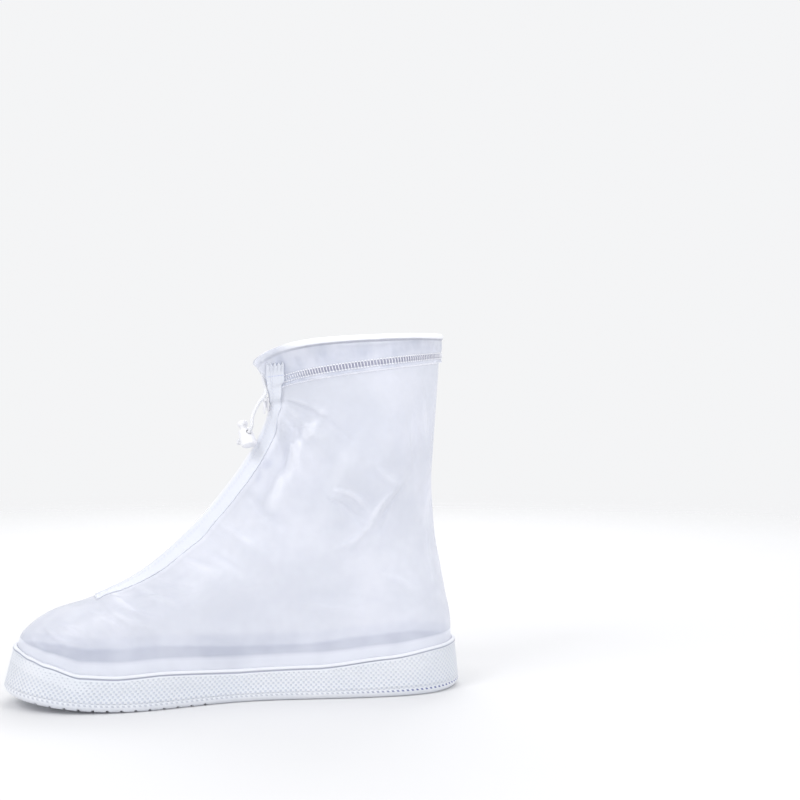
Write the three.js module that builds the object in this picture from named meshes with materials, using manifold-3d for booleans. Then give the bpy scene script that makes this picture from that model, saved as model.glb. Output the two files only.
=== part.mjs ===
// Zip-up rain shoe cover for the right foot, worn over a shoe: a frosted film upper welded to a
// moulded tray sole, a hemmed cuff with an elastic drawcord and two spring cord locks, and a coil
// zip up the front ridge. Millimetres. The toe points to -X, the inner (big toe) side to -Y, +Z up.
// Shapes are worked out in (s, y, z), where s is the distance from the tip of the toe.
import * as THREE from 'three';
import { mergeVertices } from 'three/addons/utils/BufferGeometryUtils.js';
import Module from 'manifold-3d';

const wasm = await Module();
wasm.setup();

// Driving sizes
const originS = 145.15;
const originY = -1.97;
const fit = 0.4;
const filmWall = 1.2;
const toeSpring = 9;
const toeSpringEnd = 90;
const heelSpring = 1.5;
const heelSpringStart = 262;
const heelEnd = 290;

// Sole tray
const soleFloor = 3.4;
const soleColumns = 52;
const soleCorner = 3.6;
const brimShow = 1.2;
const brimHeights = {
  columns: ['s', 'z'],
  rows: [[0, 38.5], [9, 36], [18, 32.5], [28, 29], [48, 22.8], [70, 21.4], [95, 22.4], [143, 19.8],
    [192, 20.6], [237, 25.4], [270, 29.6], [291, 31.6]],
};

// Tread grooves: first and last place, how far they stop short of the outline
const treadPitch = 8.3;
const grooveWidth = 1.3;
const grooveDepth = 1.4;
const treadZones = [
  { name: 'forefoot', from: 22, to: 122, reach: 130 },
  { name: 'heel', from: 212, to: 272, reach: 56 },
];

// Levels of the film from the tray floor up to the rim. Each is a closed outline that starts at the
// front: its ends, its roundness there and its half widths at a quarter, a half and three quarters.
const levelColumns = ['frontS', 'frontZ', 'backS', 'backZ', 'droop', 'toeIn', 'front',
  'ballIn', 'waistIn', 'heelIn', 'ballOut', 'waistOut', 'heelOut', 'back'];
const levelTable = {
  floor:    [3.4, 0, 286.9, 0, 0, -9, 76, 54.5, 33.7, 43.5, 54.5, 48.7, 46.4, 69],
  brim:     [8.9, 0, 284.8, 0, 0, -9, 72, 51.4, 31.5, 41.0, 51.4, 46.0, 44.0, 66],
  toe_cap:  [13.8, 45.8, 284.2, 46, 0, -8, 63, 46.0, 33.0, 40.4, 47.5, 43.0, 42.7, 64],
  toe_top:  [28, 55.4, 281, 62, 0, -7, 54, 41.5, 33.0, 40.4, 42.7, 40.0, 41.6, 58],
  zip_foot: [52, 62.8, 277.7, 80, 0, -4, 36, 36.0, 34.0, 40.0, 37.0, 37.0, 41.0, 50],
  vamp:     [84.8, 78.8, 274.5, 98, 0, -2, 17, 31.0, 36.0, 40.0, 33.0, 37.5, 41.0, 41],
  instep:   [119, 108.7, 273, 115, 0, 0, 12, 30.5, 37.5, 41.6, 32.5, 38.5, 42.0, 36],
  throat:   [147.2, 143.5, 272, 135, 0, 0, 10.5, 31.0, 39.0, 42.7, 32.5, 39.5, 42.7, 33],
  ankle:    [162.4, 171, 273.5, 160, 0, 0, 10, 32.0, 40.5, 43.3, 34.0, 40.5, 43.3, 31],
  hem:      [165.6, 194, 276.8, 207.5, 5, 0, 10.5, 34.0, 42.0, 43.5, 36.0, 42.0, 43.5, 32],
  rim:      [152.6, 225, 277.4, 230.5, 15, 0, 12.5, 36.0, 43.0, 44.0, 37.0, 43.0, 44.0, 34],
};
const droopLength = 14;
const filmColumns = 48;
const filmLevels = [0, 1, 1.5, 2, 2.5, 3, 3.5, 4, 4.25, 4.65, 5, 5.35, 5.7, 6.05, 6.4, 6.8, 7.2,
  7.6, 8, 8.5, 9];
const filmTopDown = 6.4;
const zipFootLevel = 4;
const hemLevel = 9;
const rimLevel = 10;

// Folds of the film, drawn on the side view: from and to in (s, z), half width, height (+ stands out)
const foldColumns = ['side', 'fromS', 'fromZ', 'toS', 'toZ', 'halfWidth', 'height'];
const folds = [
  ['in', 169, 188, 194, 171, 4.5, -1.8],
  ['in', 169, 180, 186, 152, 5.5, 1.8],
  ['in', 167, 174, 172, 146, 4.5, -1.5],
  ['in', 186, 172, 222, 134, 9, 2.0],
  ['in', 241, 132, 216, 99, 6, 2.4],
  ['in', 254, 134, 232, 108, 6, -2.0],
  ['in', 211, 146, 201, 112, 7, 2.0],
  ['in', 262, 158, 266, 118, 8, -2.2],
  ['in', 62, 66, 86, 49, 5, 1.8],
  ['in', 58, 50, 78, 41, 5, -1.4],
  ['in', 118, 102, 152, 80, 8, -1.8],
  ['out', 169, 188, 196, 168, 5, -1.8],
  ['out', 169, 178, 190, 148, 6, 1.8],
  ['out', 188, 174, 228, 128, 9, 2.2],
  ['out', 246, 138, 214, 102, 7, 2.4],
  ['out', 256, 150, 262, 114, 8, -2.2],
  ['out', 66, 68, 92, 50, 6, 1.8],
  ['out', 116, 102, 150, 82, 8, -1.8],
];

// Cuff: a folded hem round the cord, in (outward, down from the rim) round the film's outer face
const cuffFrontIn = 0.3;
const cuffSetBack = 0.3;
const cuffSetBackColumns = 4;
const cuffOuterLeaf = [[1.65, 'hem'], [1.65, 9], [2.8, 4.8], [2.0, 1.2]];
const cuffInnerLeaf = [[-0.6, 0.1], [-3.6, 1.6], [-3.9, 5.5], [-2.9, 10.5], [-1.75, 10.5],
  [-2.7, 5.5], [-2.3, 2.4], [-0.6, 1.4]];
const cuffOuterLeafInside = [[1.1, 2.4], [1.5, 4.8], [0.45, 9], [0.45, 'hem']];

// Drawcord
const cordDiameter = 2.4;
const cordSides = 8;
const cordOut = -0.6;
const cordDown = 4;
const cordStart = 0.66;

// Zip
const slotHalf = 5;
const tapeGap = 1.1;
const tapeWall = 0.9;
const tapeFrom = 2.2;
const tapeTo = 14.5;
const tapeSteps = 3;
const tapeLiftOverCuff = 2.5;
const coilRadius = 1.5;
const coilIn = 0.9;
const coilFromS = 63;
const coilSteps = 26;
const coilSides = 6;
const zipTopZ = 189;
const zipLineTop = [[166, 191], [164.4, 195], [163.4, 200], [162.7, 206], [162.4, 212]];
const sliderZ = 184.5;

// Slider and pull, in (in from the ridge, across, up along the zip)
const sliderLength = 9;
const outerPlate = { from: -2.7, to: -1.6, half: 3.2 };
const innerPlate = { from: 2.8, to: 3.7, half: 1.5 };
const postHalf = 0.9;
const bailIn = -4.4;
const bailUp = 2.5;
const bailRadius = 0.5;
const eyeRadius = 0.8;
const eyeOuter = 1.4;
const eyeHalf = 1.1;
const pullLength = 9;
const pullHalf = 2.1;
const pullWall = 1.2;

// Cord lock: barrel, plunger with its head, and the cord's way through
const barrelLength = 11.4;
const barrelRadius = 5.3;
const barrelTopRadius = 4.7;
const lockFlat = 0.82;
const boreRadius = 3.3;
const boreFloor = 1.1;
const crossHole = { height: 7.9, radius: 1.7 };
const stemRadius = 2.9;
const stemBottom = 4.6;
const plungerTravel = 2.2;
const headRadius = 3.5;
const headHeight = 2.1;
const headCentre = 15.9;
const lockSides = 14;
const knotGap = 0.3;

// Free ends of the drawcord, from the casing's mouth to the locks, and how each lock lies:
// where the cord crosses it, where its head points and where the cord runs on to
const cordColumns = ['s', 'y', 'z'];
const cordEnds = {
  inner: {
    route: [[167.5, -13.3, 216.1], [165, -10.8, 214.8], [162.5, -8, 213.7], [162, -5.1, 212.5],
      [162.6, -2.9, 209.9], [161.6, -1.2, 206.8], [160.9, -0.4, 203.4], [161.3, -0.7, 199.6],
      [162.2, -2.2, 195.4], [162, -4.8, 190.8], [157.9, -7.6, 185.6], [154.7, -10.4, 180],
      [152.8, -12.9, 175.2], [152.6, -13.9, 171]],
    cross: [149.5, -8.1, 164.7],
    head: [-0.26, 0.42, 0.87],
    onward: [-0.38, 0.83, -0.41],
    steps: 18,
  },
  outer: {
    route: [[167.5, 13.7, 216.1], [165, 11, 214.8], [162.5, 8.2, 213.7], [162.2, 5.2, 212.3],
      [163.9, 2.5, 209.7], [165, 0.9, 206.3], [165, 0.4, 203], [165.2, 0.5, 199.6],
      [165, 0.9, 196], [163, 2.9, 192.4], [162, 5.6, 189.6], [163.6, 9.4, 185],
      [166.4, 13, 180], [167.6, 16.2, 173], [166.2, 19, 165.5], [164, 21.6, 158],
      [162, 23.1, 151.4]],
    cross: [161, 22.5, 146],
    head: [-0.68, -0.71, 0.18],
    onward: [-0.124, -0.13, -0.984],
    steps: 22,
  },
};

const white = (colour, roughness) => new THREE.MeshStandardMaterial({
  color: colour, roughness, metalness: 0 });
const finishes = {
  film: new THREE.MeshStandardMaterial({
    color: 0xd3d8e6, roughness: 0.35, metalness: 0, transparent: true, opacity: 0.55 }),
  hem: new THREE.MeshStandardMaterial({
    color: 0xdcdfea, roughness: 0.4, metalness: 0, transparent: true, opacity: 0.7 }),
  sole: white(0xdde2ee, 0.45),
  tape: white(0xeceff8, 0.85),
  coil: white(0xf1f3fa, 0.4),
  elastic: white(0xf4f5f8, 0.8),
  plastic: white(0xf5f5f6, 0.35),
};

const cover = new THREE.Group();

function addPiece(name, geometry, material) {
  const mesh = new THREE.Mesh(geometry, material);
  mesh.name = name;
  cover.add(mesh);
  return mesh;
}

// Curve helpers

function catmullRom(a, b, c, d, t) {
  return 0.5 * (2 * b + (c - a) * t + (2 * a - 5 * b + 4 * c - d) * t * t
    + (3 * b - 3 * c + d - a) * t * t * t);
}

function spline(values, place) {
  const last = values.length - 1;
  const i = Math.min(last - 1, Math.max(0, Math.floor(place)));
  const before = values[i - 1] ?? 2 * values[0] - values[1];
  const after = values[i + 2] ?? 2 * values[last] - values[last - 1];
  return catmullRom(before, values[i], values[i + 1], after, place - i);
}

function alongTable(table, x) {
  const rows = table.rows;
  let i = 0;
  while (i < rows.length - 2 && x > rows[i + 1][0]) i += 1;
  const t = THREE.MathUtils.clamp((x - rows[i][0]) / (rows[i + 1][0] - rows[i][0]), 0, 1);
  const smooth = 0.5 - 0.5 * Math.cos(Math.PI * t);
  return rows[i][1] + (rows[i + 1][1] - rows[i][1]) * (0.5 * t + 0.5 * smooth);
}

// The film's surface

const levels = Object.entries(levelTable).map(([name, values]) => ({
  name, ...Object.fromEntries(levelColumns.map((column, i) => [column, values[i]])) }));
const foldRows = folds.map((values) => Object.fromEntries(
  foldColumns.map((column, i) => [column, values[i]])));

function soleLift(s) {
  const toe = Math.max(0, 1 - s / toeSpringEnd);
  const heel = Math.max(0, (s - heelSpringStart) / (heelEnd - heelSpringStart));
  return toeSpring * toe * toe + heelSpring * heel * heel;
}

function levelPoint(level, angle) {
  const t = (1 - Math.cos(angle)) / 2;
  const length = level.backS - level.frontS;
  const s = level.frontS + t * length;
  const inner = Math.sin(angle) > 0;
  const widths = inner
    ? [level.front, level.ballIn, level.waistIn, level.heelIn, level.back]
    : [level.front, level.ballOut, level.waistOut, level.heelOut, level.back];
  const half = Math.abs(Math.sin(angle)) * spline(widths, 4 * t);
  const y = (inner ? -half : half) + level.toeIn * (1 - t) ** 3;
  let z = level.frontZ + (level.backZ - level.frontZ) * t;
  z -= level.droop * Math.exp(-t * length / droopLength);
  if (level.name === 'floor') z = soleLift(s) + soleFloor + fit;
  if (level.name === 'brim') z = alongTable(brimHeights, s) + brimShow;
  return new THREE.Vector3(s, y, z);
}

function smoothPoint(place, angle) {
  const last = levels.length - 1;
  const i = Math.min(last - 1, Math.max(0, Math.floor(place)));
  const t = place - i;
  const b = levelPoint(levels[i], angle);
  const c = levelPoint(levels[i + 1], angle);
  if (i === 0) return b.lerp(c, t);
  const a = levelPoint(levels[i - 1], angle);
  const d = i + 2 > last ? c.clone().multiplyScalar(2).sub(b) : levelPoint(levels[i + 2], angle);
  return new THREE.Vector3(
    catmullRom(a.x, b.x, c.x, d.x, t),
    catmullRom(a.y, b.y, c.y, d.y, t),
    catmullRom(a.z, b.z, c.z, d.z, t));
}

function smoothNormal(place, angle) {
  const step = 0.002;
  const low = Math.max(0, place - step);
  const up = smoothPoint(low + 2 * step, angle).sub(smoothPoint(low, angle));
  const round = smoothPoint(place, angle + step).sub(smoothPoint(place, angle - step));
  return round.cross(up).normalize();
}

function foldHeight(point, side) {
  let height = 0;
  for (const fold of foldRows) {
    if (fold.side !== side) continue;
    const dx = fold.toS - fold.fromS;
    const dz = fold.toZ - fold.fromZ;
    const length = Math.hypot(dx, dz);
    const along = ((point.x - fold.fromS) * dx + (point.z - fold.fromZ) * dz) / length;
    const across = ((point.x - fold.fromS) * dz - (point.z - fold.fromZ) * dx) / length;
    const past = Math.max(0, -along, along - length);
    height += fold.height * Math.exp(-((across / fold.halfWidth) ** 2))
      * Math.exp(-((past / (1.5 * fold.halfWidth)) ** 2));
  }
  return height;
}

// A point of the film at a level and an angle round it, moved outward; the cuff's zone has no folds
function skin(place, angle, outward) {
  const point = smoothPoint(place, angle);
  const normal = smoothNormal(place, angle);
  const side = angle < Math.PI ? 'in' : 'out';
  const calm = THREE.MathUtils.smoothstep(Math.abs(Math.sin(angle)), 0.15, 0.5)
    * (1 - THREE.MathUtils.smoothstep(place, hemLevel - 0.7, hemLevel - 0.2))
    * THREE.MathUtils.smoothstep(place, 1, 1.8);
  return point.addScaledVector(normal, outward + calm * foldHeight(point, side));
}

const place3 = (v) => new THREE.Vector3(v.x - originS, v.y - originY, v.z);

// Mesh helpers

class Skin {
  constructor() {
    this.positions = [];
    this.indices = [];
  }

  point(v) {
    this.positions.push(v.x, v.y, v.z);
    return this.positions.length / 3 - 1;
  }

  quad(a, b, c, d) {
    this.indices.push(a, b, c, a, c, d);
  }

  geometry() {
    const geometry = new THREE.BufferGeometry();
    geometry.setAttribute('position', new THREE.Float32BufferAttribute(this.positions, 3));
    geometry.setIndex(this.indices);
    return faceOutward(geometry);
  }
}

function faceOutward(geometry) {
  const p = geometry.attributes.position;
  const index = geometry.index.array;
  const a = new THREE.Vector3();
  const b = new THREE.Vector3();
  const c = new THREE.Vector3();
  let volume = 0;
  for (let i = 0; i < index.length; i += 3) {
    a.fromBufferAttribute(p, index[i]);
    b.fromBufferAttribute(p, index[i + 1]);
    c.fromBufferAttribute(p, index[i + 2]);
    volume += a.dot(b.cross(c));
  }
  if (volume < 0) {
    for (let i = 0; i < index.length; i += 3) [index[i], index[i + 1]] = [index[i + 1], index[i]];
  }
  geometry.computeVertexNormals();
  return geometry;
}

// A closed section carried through stations, with flat ends: sections[i][j] are points
function sweep(sections, outline) {
  const body = new Skin();
  const rings = sections.map((section) => section.map((v) => body.point(v)));
  const count = outline.length;
  for (let i = 0; i < rings.length - 1; i += 1) {
    for (let j = 0; j < count; j += 1) {
      const k = (j + 1) % count;
      body.quad(rings[i][j], rings[i][k], rings[i + 1][k], rings[i + 1][j]);
    }
  }
  const flat = outline.map(([x, y]) => new THREE.Vector2(x, y));
  const first = rings[0];
  const last = rings[rings.length - 1];
  for (const [a, b, c] of THREE.ShapeUtils.triangulateShape(flat, [])) {
    body.indices.push(first[a], first[c], first[b], last[a], last[b], last[c]);
  }
  return body.geometry();
}

function toManifold(geometry) {
  const plain = geometry.clone();
  plain.deleteAttribute('normal');
  if (plain.attributes.uv) plain.deleteAttribute('uv');
  const merged = mergeVertices(plain, 1e-4);
  return new wasm.Manifold(new wasm.Mesh({
    numProp: 3,
    vertProperties: new Float32Array(merged.attributes.position.array),
    triVerts: new Uint32Array(merged.index.array),
  }));
}

function fromManifold(solid) {
  const mesh = solid.getMesh();
  const geometry = new THREE.BufferGeometry();
  geometry.setAttribute('position', new THREE.BufferAttribute(mesh.vertProperties, 3));
  geometry.setIndex(new THREE.BufferAttribute(mesh.triVerts, 1));
  geometry.computeVertexNormals();
  return geometry;
}

function box(width, depth, height, x, y, z) {
  return toManifold(new THREE.BoxGeometry(width, depth, height).translate(x, y, z));
}

// Zip line: the ridge up to the zip's top, then on up the cuff

const ridge = [];
for (let place = zipFootLevel; place <= hemLevel; place += 0.05) ridge.push(smoothPoint(place, 0));
const zipLine = ridge.filter((v) => v.z < zipTopZ - 2).map((v) => new THREE.Vector2(v.x, v.z));
zipLine.push(...zipLineTop.map(([s, z]) => new THREE.Vector2(s, z)));
const zipCurve = new THREE.SplineCurve(zipLine.filter((v, i) => i % 5 === 0 || i > zipLine.length - 6));

// Level and angle of the film at a place of the side view
function onSide(s, z, side) {
  let low = 0;
  let high = rimLevel;
  let angle = 0;
  for (let i = 0; i < 22; i += 1) {
    const place = (low + high) / 2;
    let first = 0;
    let last = Math.PI;
    for (let k = 0; k < 22; k += 1) {
      angle = (first + last) / 2;
      if (smoothPoint(place, side === 'in' ? angle : 2 * Math.PI - angle).x < s) first = angle;
      else last = angle;
    }
    const point = smoothPoint(place, side === 'in' ? angle : 2 * Math.PI - angle);
    if (point.z < z) low = place;
    else high = place;
  }
  return { place: (low + high) / 2, angle: side === 'in' ? angle : 2 * Math.PI - angle };
}

// Sole tray: its wall follows the film from the floor to the brim

function trayPoint(angle, out, place, drop) {
  const point = smoothPoint(Math.max(0, place), angle);
  const normal = smoothNormal(0.5, angle);
  normal.z = 0;
  normal.normalize();
  point.addScaledVector(normal, out);
  if (drop !== null) point.z = soleLift(point.x) + drop;
  return place3(point);
}

function trayProfile(angle) {
  const outer = fit + 2.4;
  const corner = (turn) => [outer + soleCorner * (Math.sin(turn) - 1), 0, soleCorner * (1 - Math.cos(turn))];
  return [
    corner(0),
    corner(Math.PI / 4),
    corner(Math.PI / 2),
    [outer, 0.04, null],
    [outer - 0.3, 0.5, null],
    [outer - 0.6, 0.84, null],
    [outer - 0.1, 0.87, null],
    [outer - 0.1, 0.93, null],
    [outer - 0.9, 0.955, null],
    [fit, 0.955, null],
    [fit, 0, null],
    [fit, 0, soleFloor],
  ].map(([out, place, drop]) => trayPoint(angle, out, place, drop));
}

function trayBody() {
  const body = new Skin();
  const angles = Array.from({ length: soleColumns }, (_, i) => 2 * Math.PI * i / soleColumns);
  const rings = angles.map((angle) => trayProfile(angle).map((v) => body.point(v)));
  const count = rings[0].length;
  for (let i = 0; i < soleColumns; i += 1) {
    const next = rings[(i + 1) % soleColumns];
    for (let j = 0; j < count - 1; j += 1) {
      body.quad(rings[i][j], rings[i][j + 1], next[j + 1], next[j]);
    }
  }
  const half = soleColumns / 2;
  for (const j of [0, count - 1]) {
    for (let i = 0; i < half; i += 1) {
      const quad = [rings[i][j], rings[i + 1][j], rings[(soleColumns - i - 1) % soleColumns][j],
        rings[(soleColumns - i) % soleColumns][j]];
      if (j !== 0) quad.reverse();
      const corners = [...new Set(quad)];
      for (let k = 1; k < corners.length - 1; k += 1) {
        body.indices.push(corners[0], corners[k], corners[k + 1]);
      }
    }
  }
  return body.geometry();
}

function sole() {
  let tray = toManifold(trayBody());
  for (const zone of treadZones) {
    for (let s = zone.from; s <= zone.to; s += treadPitch) {
      const tall = 4;
      const z = soleLift(s) + grooveDepth - tall / 2;
      tray = tray.subtract(box(grooveWidth, zone.reach, tall, s - originS, -originY, z));
    }
  }
  return fromManifold(tray);
}

// Film upper: outer and inner faces, slit along the zip

function slotAngle(place) {
  let angle = 0;
  while (angle < 1) {
    const point = smoothPoint(place, angle);
    const gap = Math.min(...ridge.map((v) => v.distanceTo(point)));
    if (gap > slotHalf) break;
    angle += 0.01;
  }
  return angle;
}

function filmUpper() {
  const body = new Skin();
  const rows = [...filmLevels, null].map((level) => {
    const open = level === null || level > zipFootLevel;
    const inCuff = level === null || level > hemLevel - 1;
    const slot = open ? (inCuff ? cuffFrontIn : slotAngle(level)) : 0;
    const columns = open ? filmColumns : filmColumns - 1;
    const row = { open, outer: [], inner: [] };
    for (let i = 0; i <= columns; i += 1) {
      const angle = cuffAngle(slot, i, filmColumns);
      const place = level ?? downLevel(angle, filmTopDown);
      row.outer.push(body.point(place3(skin(place, angle, 0))));
      row.inner.push(body.point(place3(skin(place, angle, -filmWall))));
    }
    return row;
  });
  const at = (row, face, i) => row[face][row.open ? i : i % filmColumns];
  for (let r = 0; r < rows.length - 1; r += 1) {
    const low = rows[r];
    const high = rows[r + 1];
    for (let i = 0; i < filmColumns; i += 1) {
      body.quad(at(low, 'outer', i), at(low, 'outer', i + 1), at(high, 'outer', i + 1), at(high, 'outer', i));
      body.quad(at(low, 'inner', i + 1), at(low, 'inner', i), at(high, 'inner', i), at(high, 'inner', i + 1));
    }
    if (high.open) {
      body.quad(at(low, 'inner', 0), at(low, 'outer', 0), at(high, 'outer', 0), at(high, 'inner', 0));
      body.quad(at(low, 'outer', filmColumns), at(low, 'inner', filmColumns),
        at(high, 'inner', filmColumns), at(high, 'outer', filmColumns));
    }
  }
  for (const [row, flip] of [[rows[0], false], [rows[rows.length - 1], true]]) {
    for (let i = 0; i < filmColumns; i += 1) {
      const quad = [at(row, 'outer', i), at(row, 'inner', i), at(row, 'inner', i + 1), at(row, 'outer', i + 1)];
      if (flip) quad.reverse();
      body.quad(...quad);
    }
  }
  return body.geometry();
}

// Cuff and the cord inside it

function cuffAngle(start, i, count) {
  return start + (2 * Math.PI - 2 * start) * i / count;
}

function downLevel(angle, down) {
  const height = smoothPoint(rimLevel, angle).distanceTo(smoothPoint(hemLevel, angle));
  return rimLevel - down / height;
}

function cuffPoint(angle, out, down) {
  const place = down === 'hem' ? hemLevel : downLevel(angle, down);
  return place3(skin(place, angle, out));
}

function cuff() {
  const outline = [
    ...cuffOuterLeaf.map((p) => ({ p, back: 0 })),
    ...cuffInnerLeaf.map((p) => ({ p, back: cuffSetBack })),
    ...cuffOuterLeafInside.map((p) => ({ p, back: 0 })),
  ];
  const sections = [];
  for (let i = 0; i <= filmColumns; i += 1) {
    const base = cuffAngle(cuffFrontIn, i, filmColumns);
    const fromEnd = Math.min(i, filmColumns - i);
    const pull = Math.max(0, 1 - fromEnd / cuffSetBackColumns) * (i < filmColumns / 2 ? 1 : -1);
    sections.push(outline.map(({ p, back }) => cuffPoint(base + pull * back, p[0], p[1])));
  }
  const flat = outline.map(({ p }) => [p[0], p[1] === 'hem' ? -23 : -p[1]]);
  return sweep(sections, flat);
}

function ringOutline(radius, sides) {
  return Array.from({ length: sides }, (_, i) => [
    radius * Math.cos(2 * Math.PI * i / sides), radius * Math.sin(2 * Math.PI * i / sides)]);
}

function rimCord() {
  const outline = ringOutline(cordDiameter / 2, cordSides);
  const sections = [];
  for (let i = 0; i <= filmColumns; i += 1) {
    const angle = cuffAngle(cordStart, i, filmColumns);
    sections.push(outline.map(([x, y]) => cuffPoint(angle, cordOut + x, cordDown - y)));
  }
  return sweep(sections, outline);
}

// Zip tapes: strips laid over the film's outer face at set distances from the zip line

function tapeStation(along, side) {
  const centre = zipCurve.getPointAt(along);
  const tangent = zipCurve.getTangentAt(along);
  const inward = new THREE.Vector2(tangent.y, -tangent.x);
  const overCuff = THREE.MathUtils.smoothstep(centre.y, zipTopZ - 6, zipTopZ);
  const lift = tapeGap + overCuff * (tapeLiftOverCuff - tapeGap);
  const wanted = Array.from({ length: tapeSteps + 1 }, (_, i) => tapeFrom + (tapeTo - tapeFrom) * i / tapeSteps);
  const found = [];
  let previous = null;
  let travelled = 0;
  for (let inset = 0; found.length < wanted.length && inset < 30; inset += 0.1) {
    const s = centre.x + inward.x * inset;
    const z = centre.y + inward.y * inset;
    const { place, angle } = onSide(s, z, side);
    const point = smoothPoint(place, angle);
    if (previous) travelled += point.distanceTo(previous);
    previous = point;
    if (travelled >= wanted[found.length]) found.push({ place, angle });
  }
  const face = (out) => found.map(({ place, angle }) => place3(skin(place, angle, out)));
  return [...face(lift), ...face(lift + tapeWall).reverse()];
}

function zipTape(side) {
  const stations = 24;
  const sections = [];
  for (let i = 0; i <= stations; i += 1) sections.push(tapeStation(0.02 + 0.98 * i / stations, side));
  const across = Array.from({ length: tapeSteps + 1 }, (_, i) => i);
  const flat = [...across.map((x) => [x, 0]), ...across.map((x) => [x, 1]).reverse()];
  return sweep(sections, flat);
}

// Coil, slider and pull

function zipCoil() {
  const outline = ringOutline(coilRadius, coilSides);
  const sections = [];
  let start = 0;
  while (zipCurve.getPointAt(start).x < coilFromS) start += 0.001;
  const end = zipEnd();
  for (let i = 0; i <= coilSteps; i += 1) {
    const along = start + (end - start) * i / coilSteps;
    const centre = zipCurve.getPointAt(along);
    const up = zipCurve.getTangentAt(along);
    sections.push(outline.map(([x, y]) => place3(new THREE.Vector3(
      centre.x + up.y * (coilIn + x), y, centre.y - up.x * (coilIn + x)))));
  }
  return sweep(sections, outline);
}

// How far along the zip line the coil ends, just under the slider's post
function zipEnd() {
  let along = 1;
  while (zipCurve.getPointAt(along).y > sliderZ) along -= 0.001;
  return along;
}

function zipFrame() {
  const along = zipEnd();
  const centre = zipCurve.getPointAt(along);
  const up = zipCurve.getTangentAt(along);
  const origin = place3(new THREE.Vector3(centre.x, 0, centre.y));
  return new THREE.Matrix4().makeBasis(
    new THREE.Vector3(up.y, 0, -up.x),
    new THREE.Vector3(0, 1, 0),
    new THREE.Vector3(up.x, 0, up.y)).setPosition(origin);
}

function rod(radius, length, sides) {
  return new THREE.CylinderGeometry(radius, radius, length, sides);
}

function slider() {
  const thick = (plate) => plate.to - plate.from;
  const middle = (plate) => (plate.from + plate.to) / 2;
  const bevel = 1.1;
  const shield = new THREE.Shape([
    [-outerPlate.half + bevel, -sliderLength / 2], [outerPlate.half - bevel, -sliderLength / 2],
    [outerPlate.half - 0.4, 0], [outerPlate.half, sliderLength / 2 - bevel],
    [outerPlate.half - bevel, sliderLength / 2], [-outerPlate.half + bevel, sliderLength / 2],
    [-outerPlate.half, sliderLength / 2 - bevel], [-outerPlate.half + 0.4, 0],
  ].map(([x, y]) => new THREE.Vector2(x, y)));
  const outer = new THREE.ExtrudeGeometry(shield, { depth: thick(outerPlate), bevelEnabled: false })
    .rotateX(Math.PI / 2).rotateZ(Math.PI / 2).translate(outerPlate.from, 0, 0);
  const reach = innerPlate.from - outerPlate.to + 0.8;
  const postLength = 2.6;
  const lugOut = bailIn - bailRadius - 0.5;
  const lugDepth = outerPlate.from - lugOut + 0.4;
  const lug = (side) => box(lugDepth, 0.9, 1.9, lugOut + lugDepth / 2, side * (eyeHalf + 0.75), bailUp);
  let body = toManifold(outer)
    .add(box(thick(innerPlate), 2 * innerPlate.half, sliderLength - 1, middle(innerPlate), 0, 0))
    .add(box(reach, 2 * postHalf, postLength, outerPlate.to - 0.4 + reach / 2, 0, 2.6))
    .add(lug(-1))
    .add(lug(1));
  body = body.add(toManifold(rod(bailRadius, 2 * eyeHalf + 1.4, 10).translate(bailIn, 0, bailUp)));
  return fromManifold(body).applyMatrix4(zipFrame());
}

function pull() {
  const eye = toManifold(rod(eyeOuter, 2 * eyeHalf, 12))
    .subtract(toManifold(rod(eyeRadius, 4 * eyeHalf, 12)));
  const neck = box(pullWall, 2 * eyeHalf, 1.8, 0, 0, -eyeOuter - 0.6);
  const tab = box(pullWall, 2 * pullHalf, pullLength - 3, 0, 0, -eyeOuter - 1.3 - (pullLength - 3) / 2);
  return fromManifold(eye.add(neck).add(tab))
    .translate(bailIn, 0, bailUp)
    .applyMatrix4(zipFrame());
}

// Free cord ends, locks and knots

function lockFrame(end, along) {
  const head = new THREE.Vector3(...end.head).normalize();
  const onward = new THREE.Vector3(...end.onward);
  onward.addScaledVector(head, -onward.dot(head)).normalize();
  const origin = place3(new THREE.Vector3(...end.cross)).addScaledVector(onward, along);
  return { origin, head, onward, wide: new THREE.Vector3().crossVectors(head, onward) };
}

function onLock(geometry, end) {
  const { origin, head, onward, wide } = lockFrame(end, 0);
  return geometry.translate(0, 0, -crossHole.height)
    .applyMatrix4(new THREE.Matrix4().makeBasis(onward, wide, head).setPosition(origin));
}

const lockSide = barrelRadius * lockFlat;

function cordEnd(end) {
  const { origin, onward } = lockFrame(end, 0);
  const points = end.route.map((p) => place3(new THREE.Vector3(...p)));
  for (const along of [-lockSide - 0.6, 0, lockSide + 1.9]) {
    points.push(origin.clone().addScaledVector(onward, along));
  }
  const section = new THREE.Shape(ringOutline(cordDiameter / 2, cordSides)
    .map(([x, y]) => new THREE.Vector2(x, y)));
  return new THREE.ExtrudeGeometry(section, {
    steps: end.steps, bevelEnabled: false, extrudePath: new THREE.CatmullRomCurve3(points) });
}

function turned(profile, sides) {
  return new THREE.LatheGeometry(profile.map(([x, y]) => new THREE.Vector2(x, y)), sides)
    .rotateX(Math.PI / 2);
}

function lockBarrel(end) {
  const solid = toManifold(turned([[0, 0], [barrelRadius - 0.9, 0], [barrelRadius, 1],
    [barrelTopRadius, barrelLength - 1.1], [barrelTopRadius - 0.8, barrelLength], [boreRadius, barrelLength],
    [boreRadius, boreFloor], [0, boreFloor]], lockSides).scale(lockFlat, 1, 1));
  const hole = toManifold(rod(crossHole.radius, 4 * barrelRadius, 12).rotateZ(Math.PI / 2)
    .translate(0, 0, crossHole.height));
  return onLock(fromManifold(solid.subtract(hole)), end);
}

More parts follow.
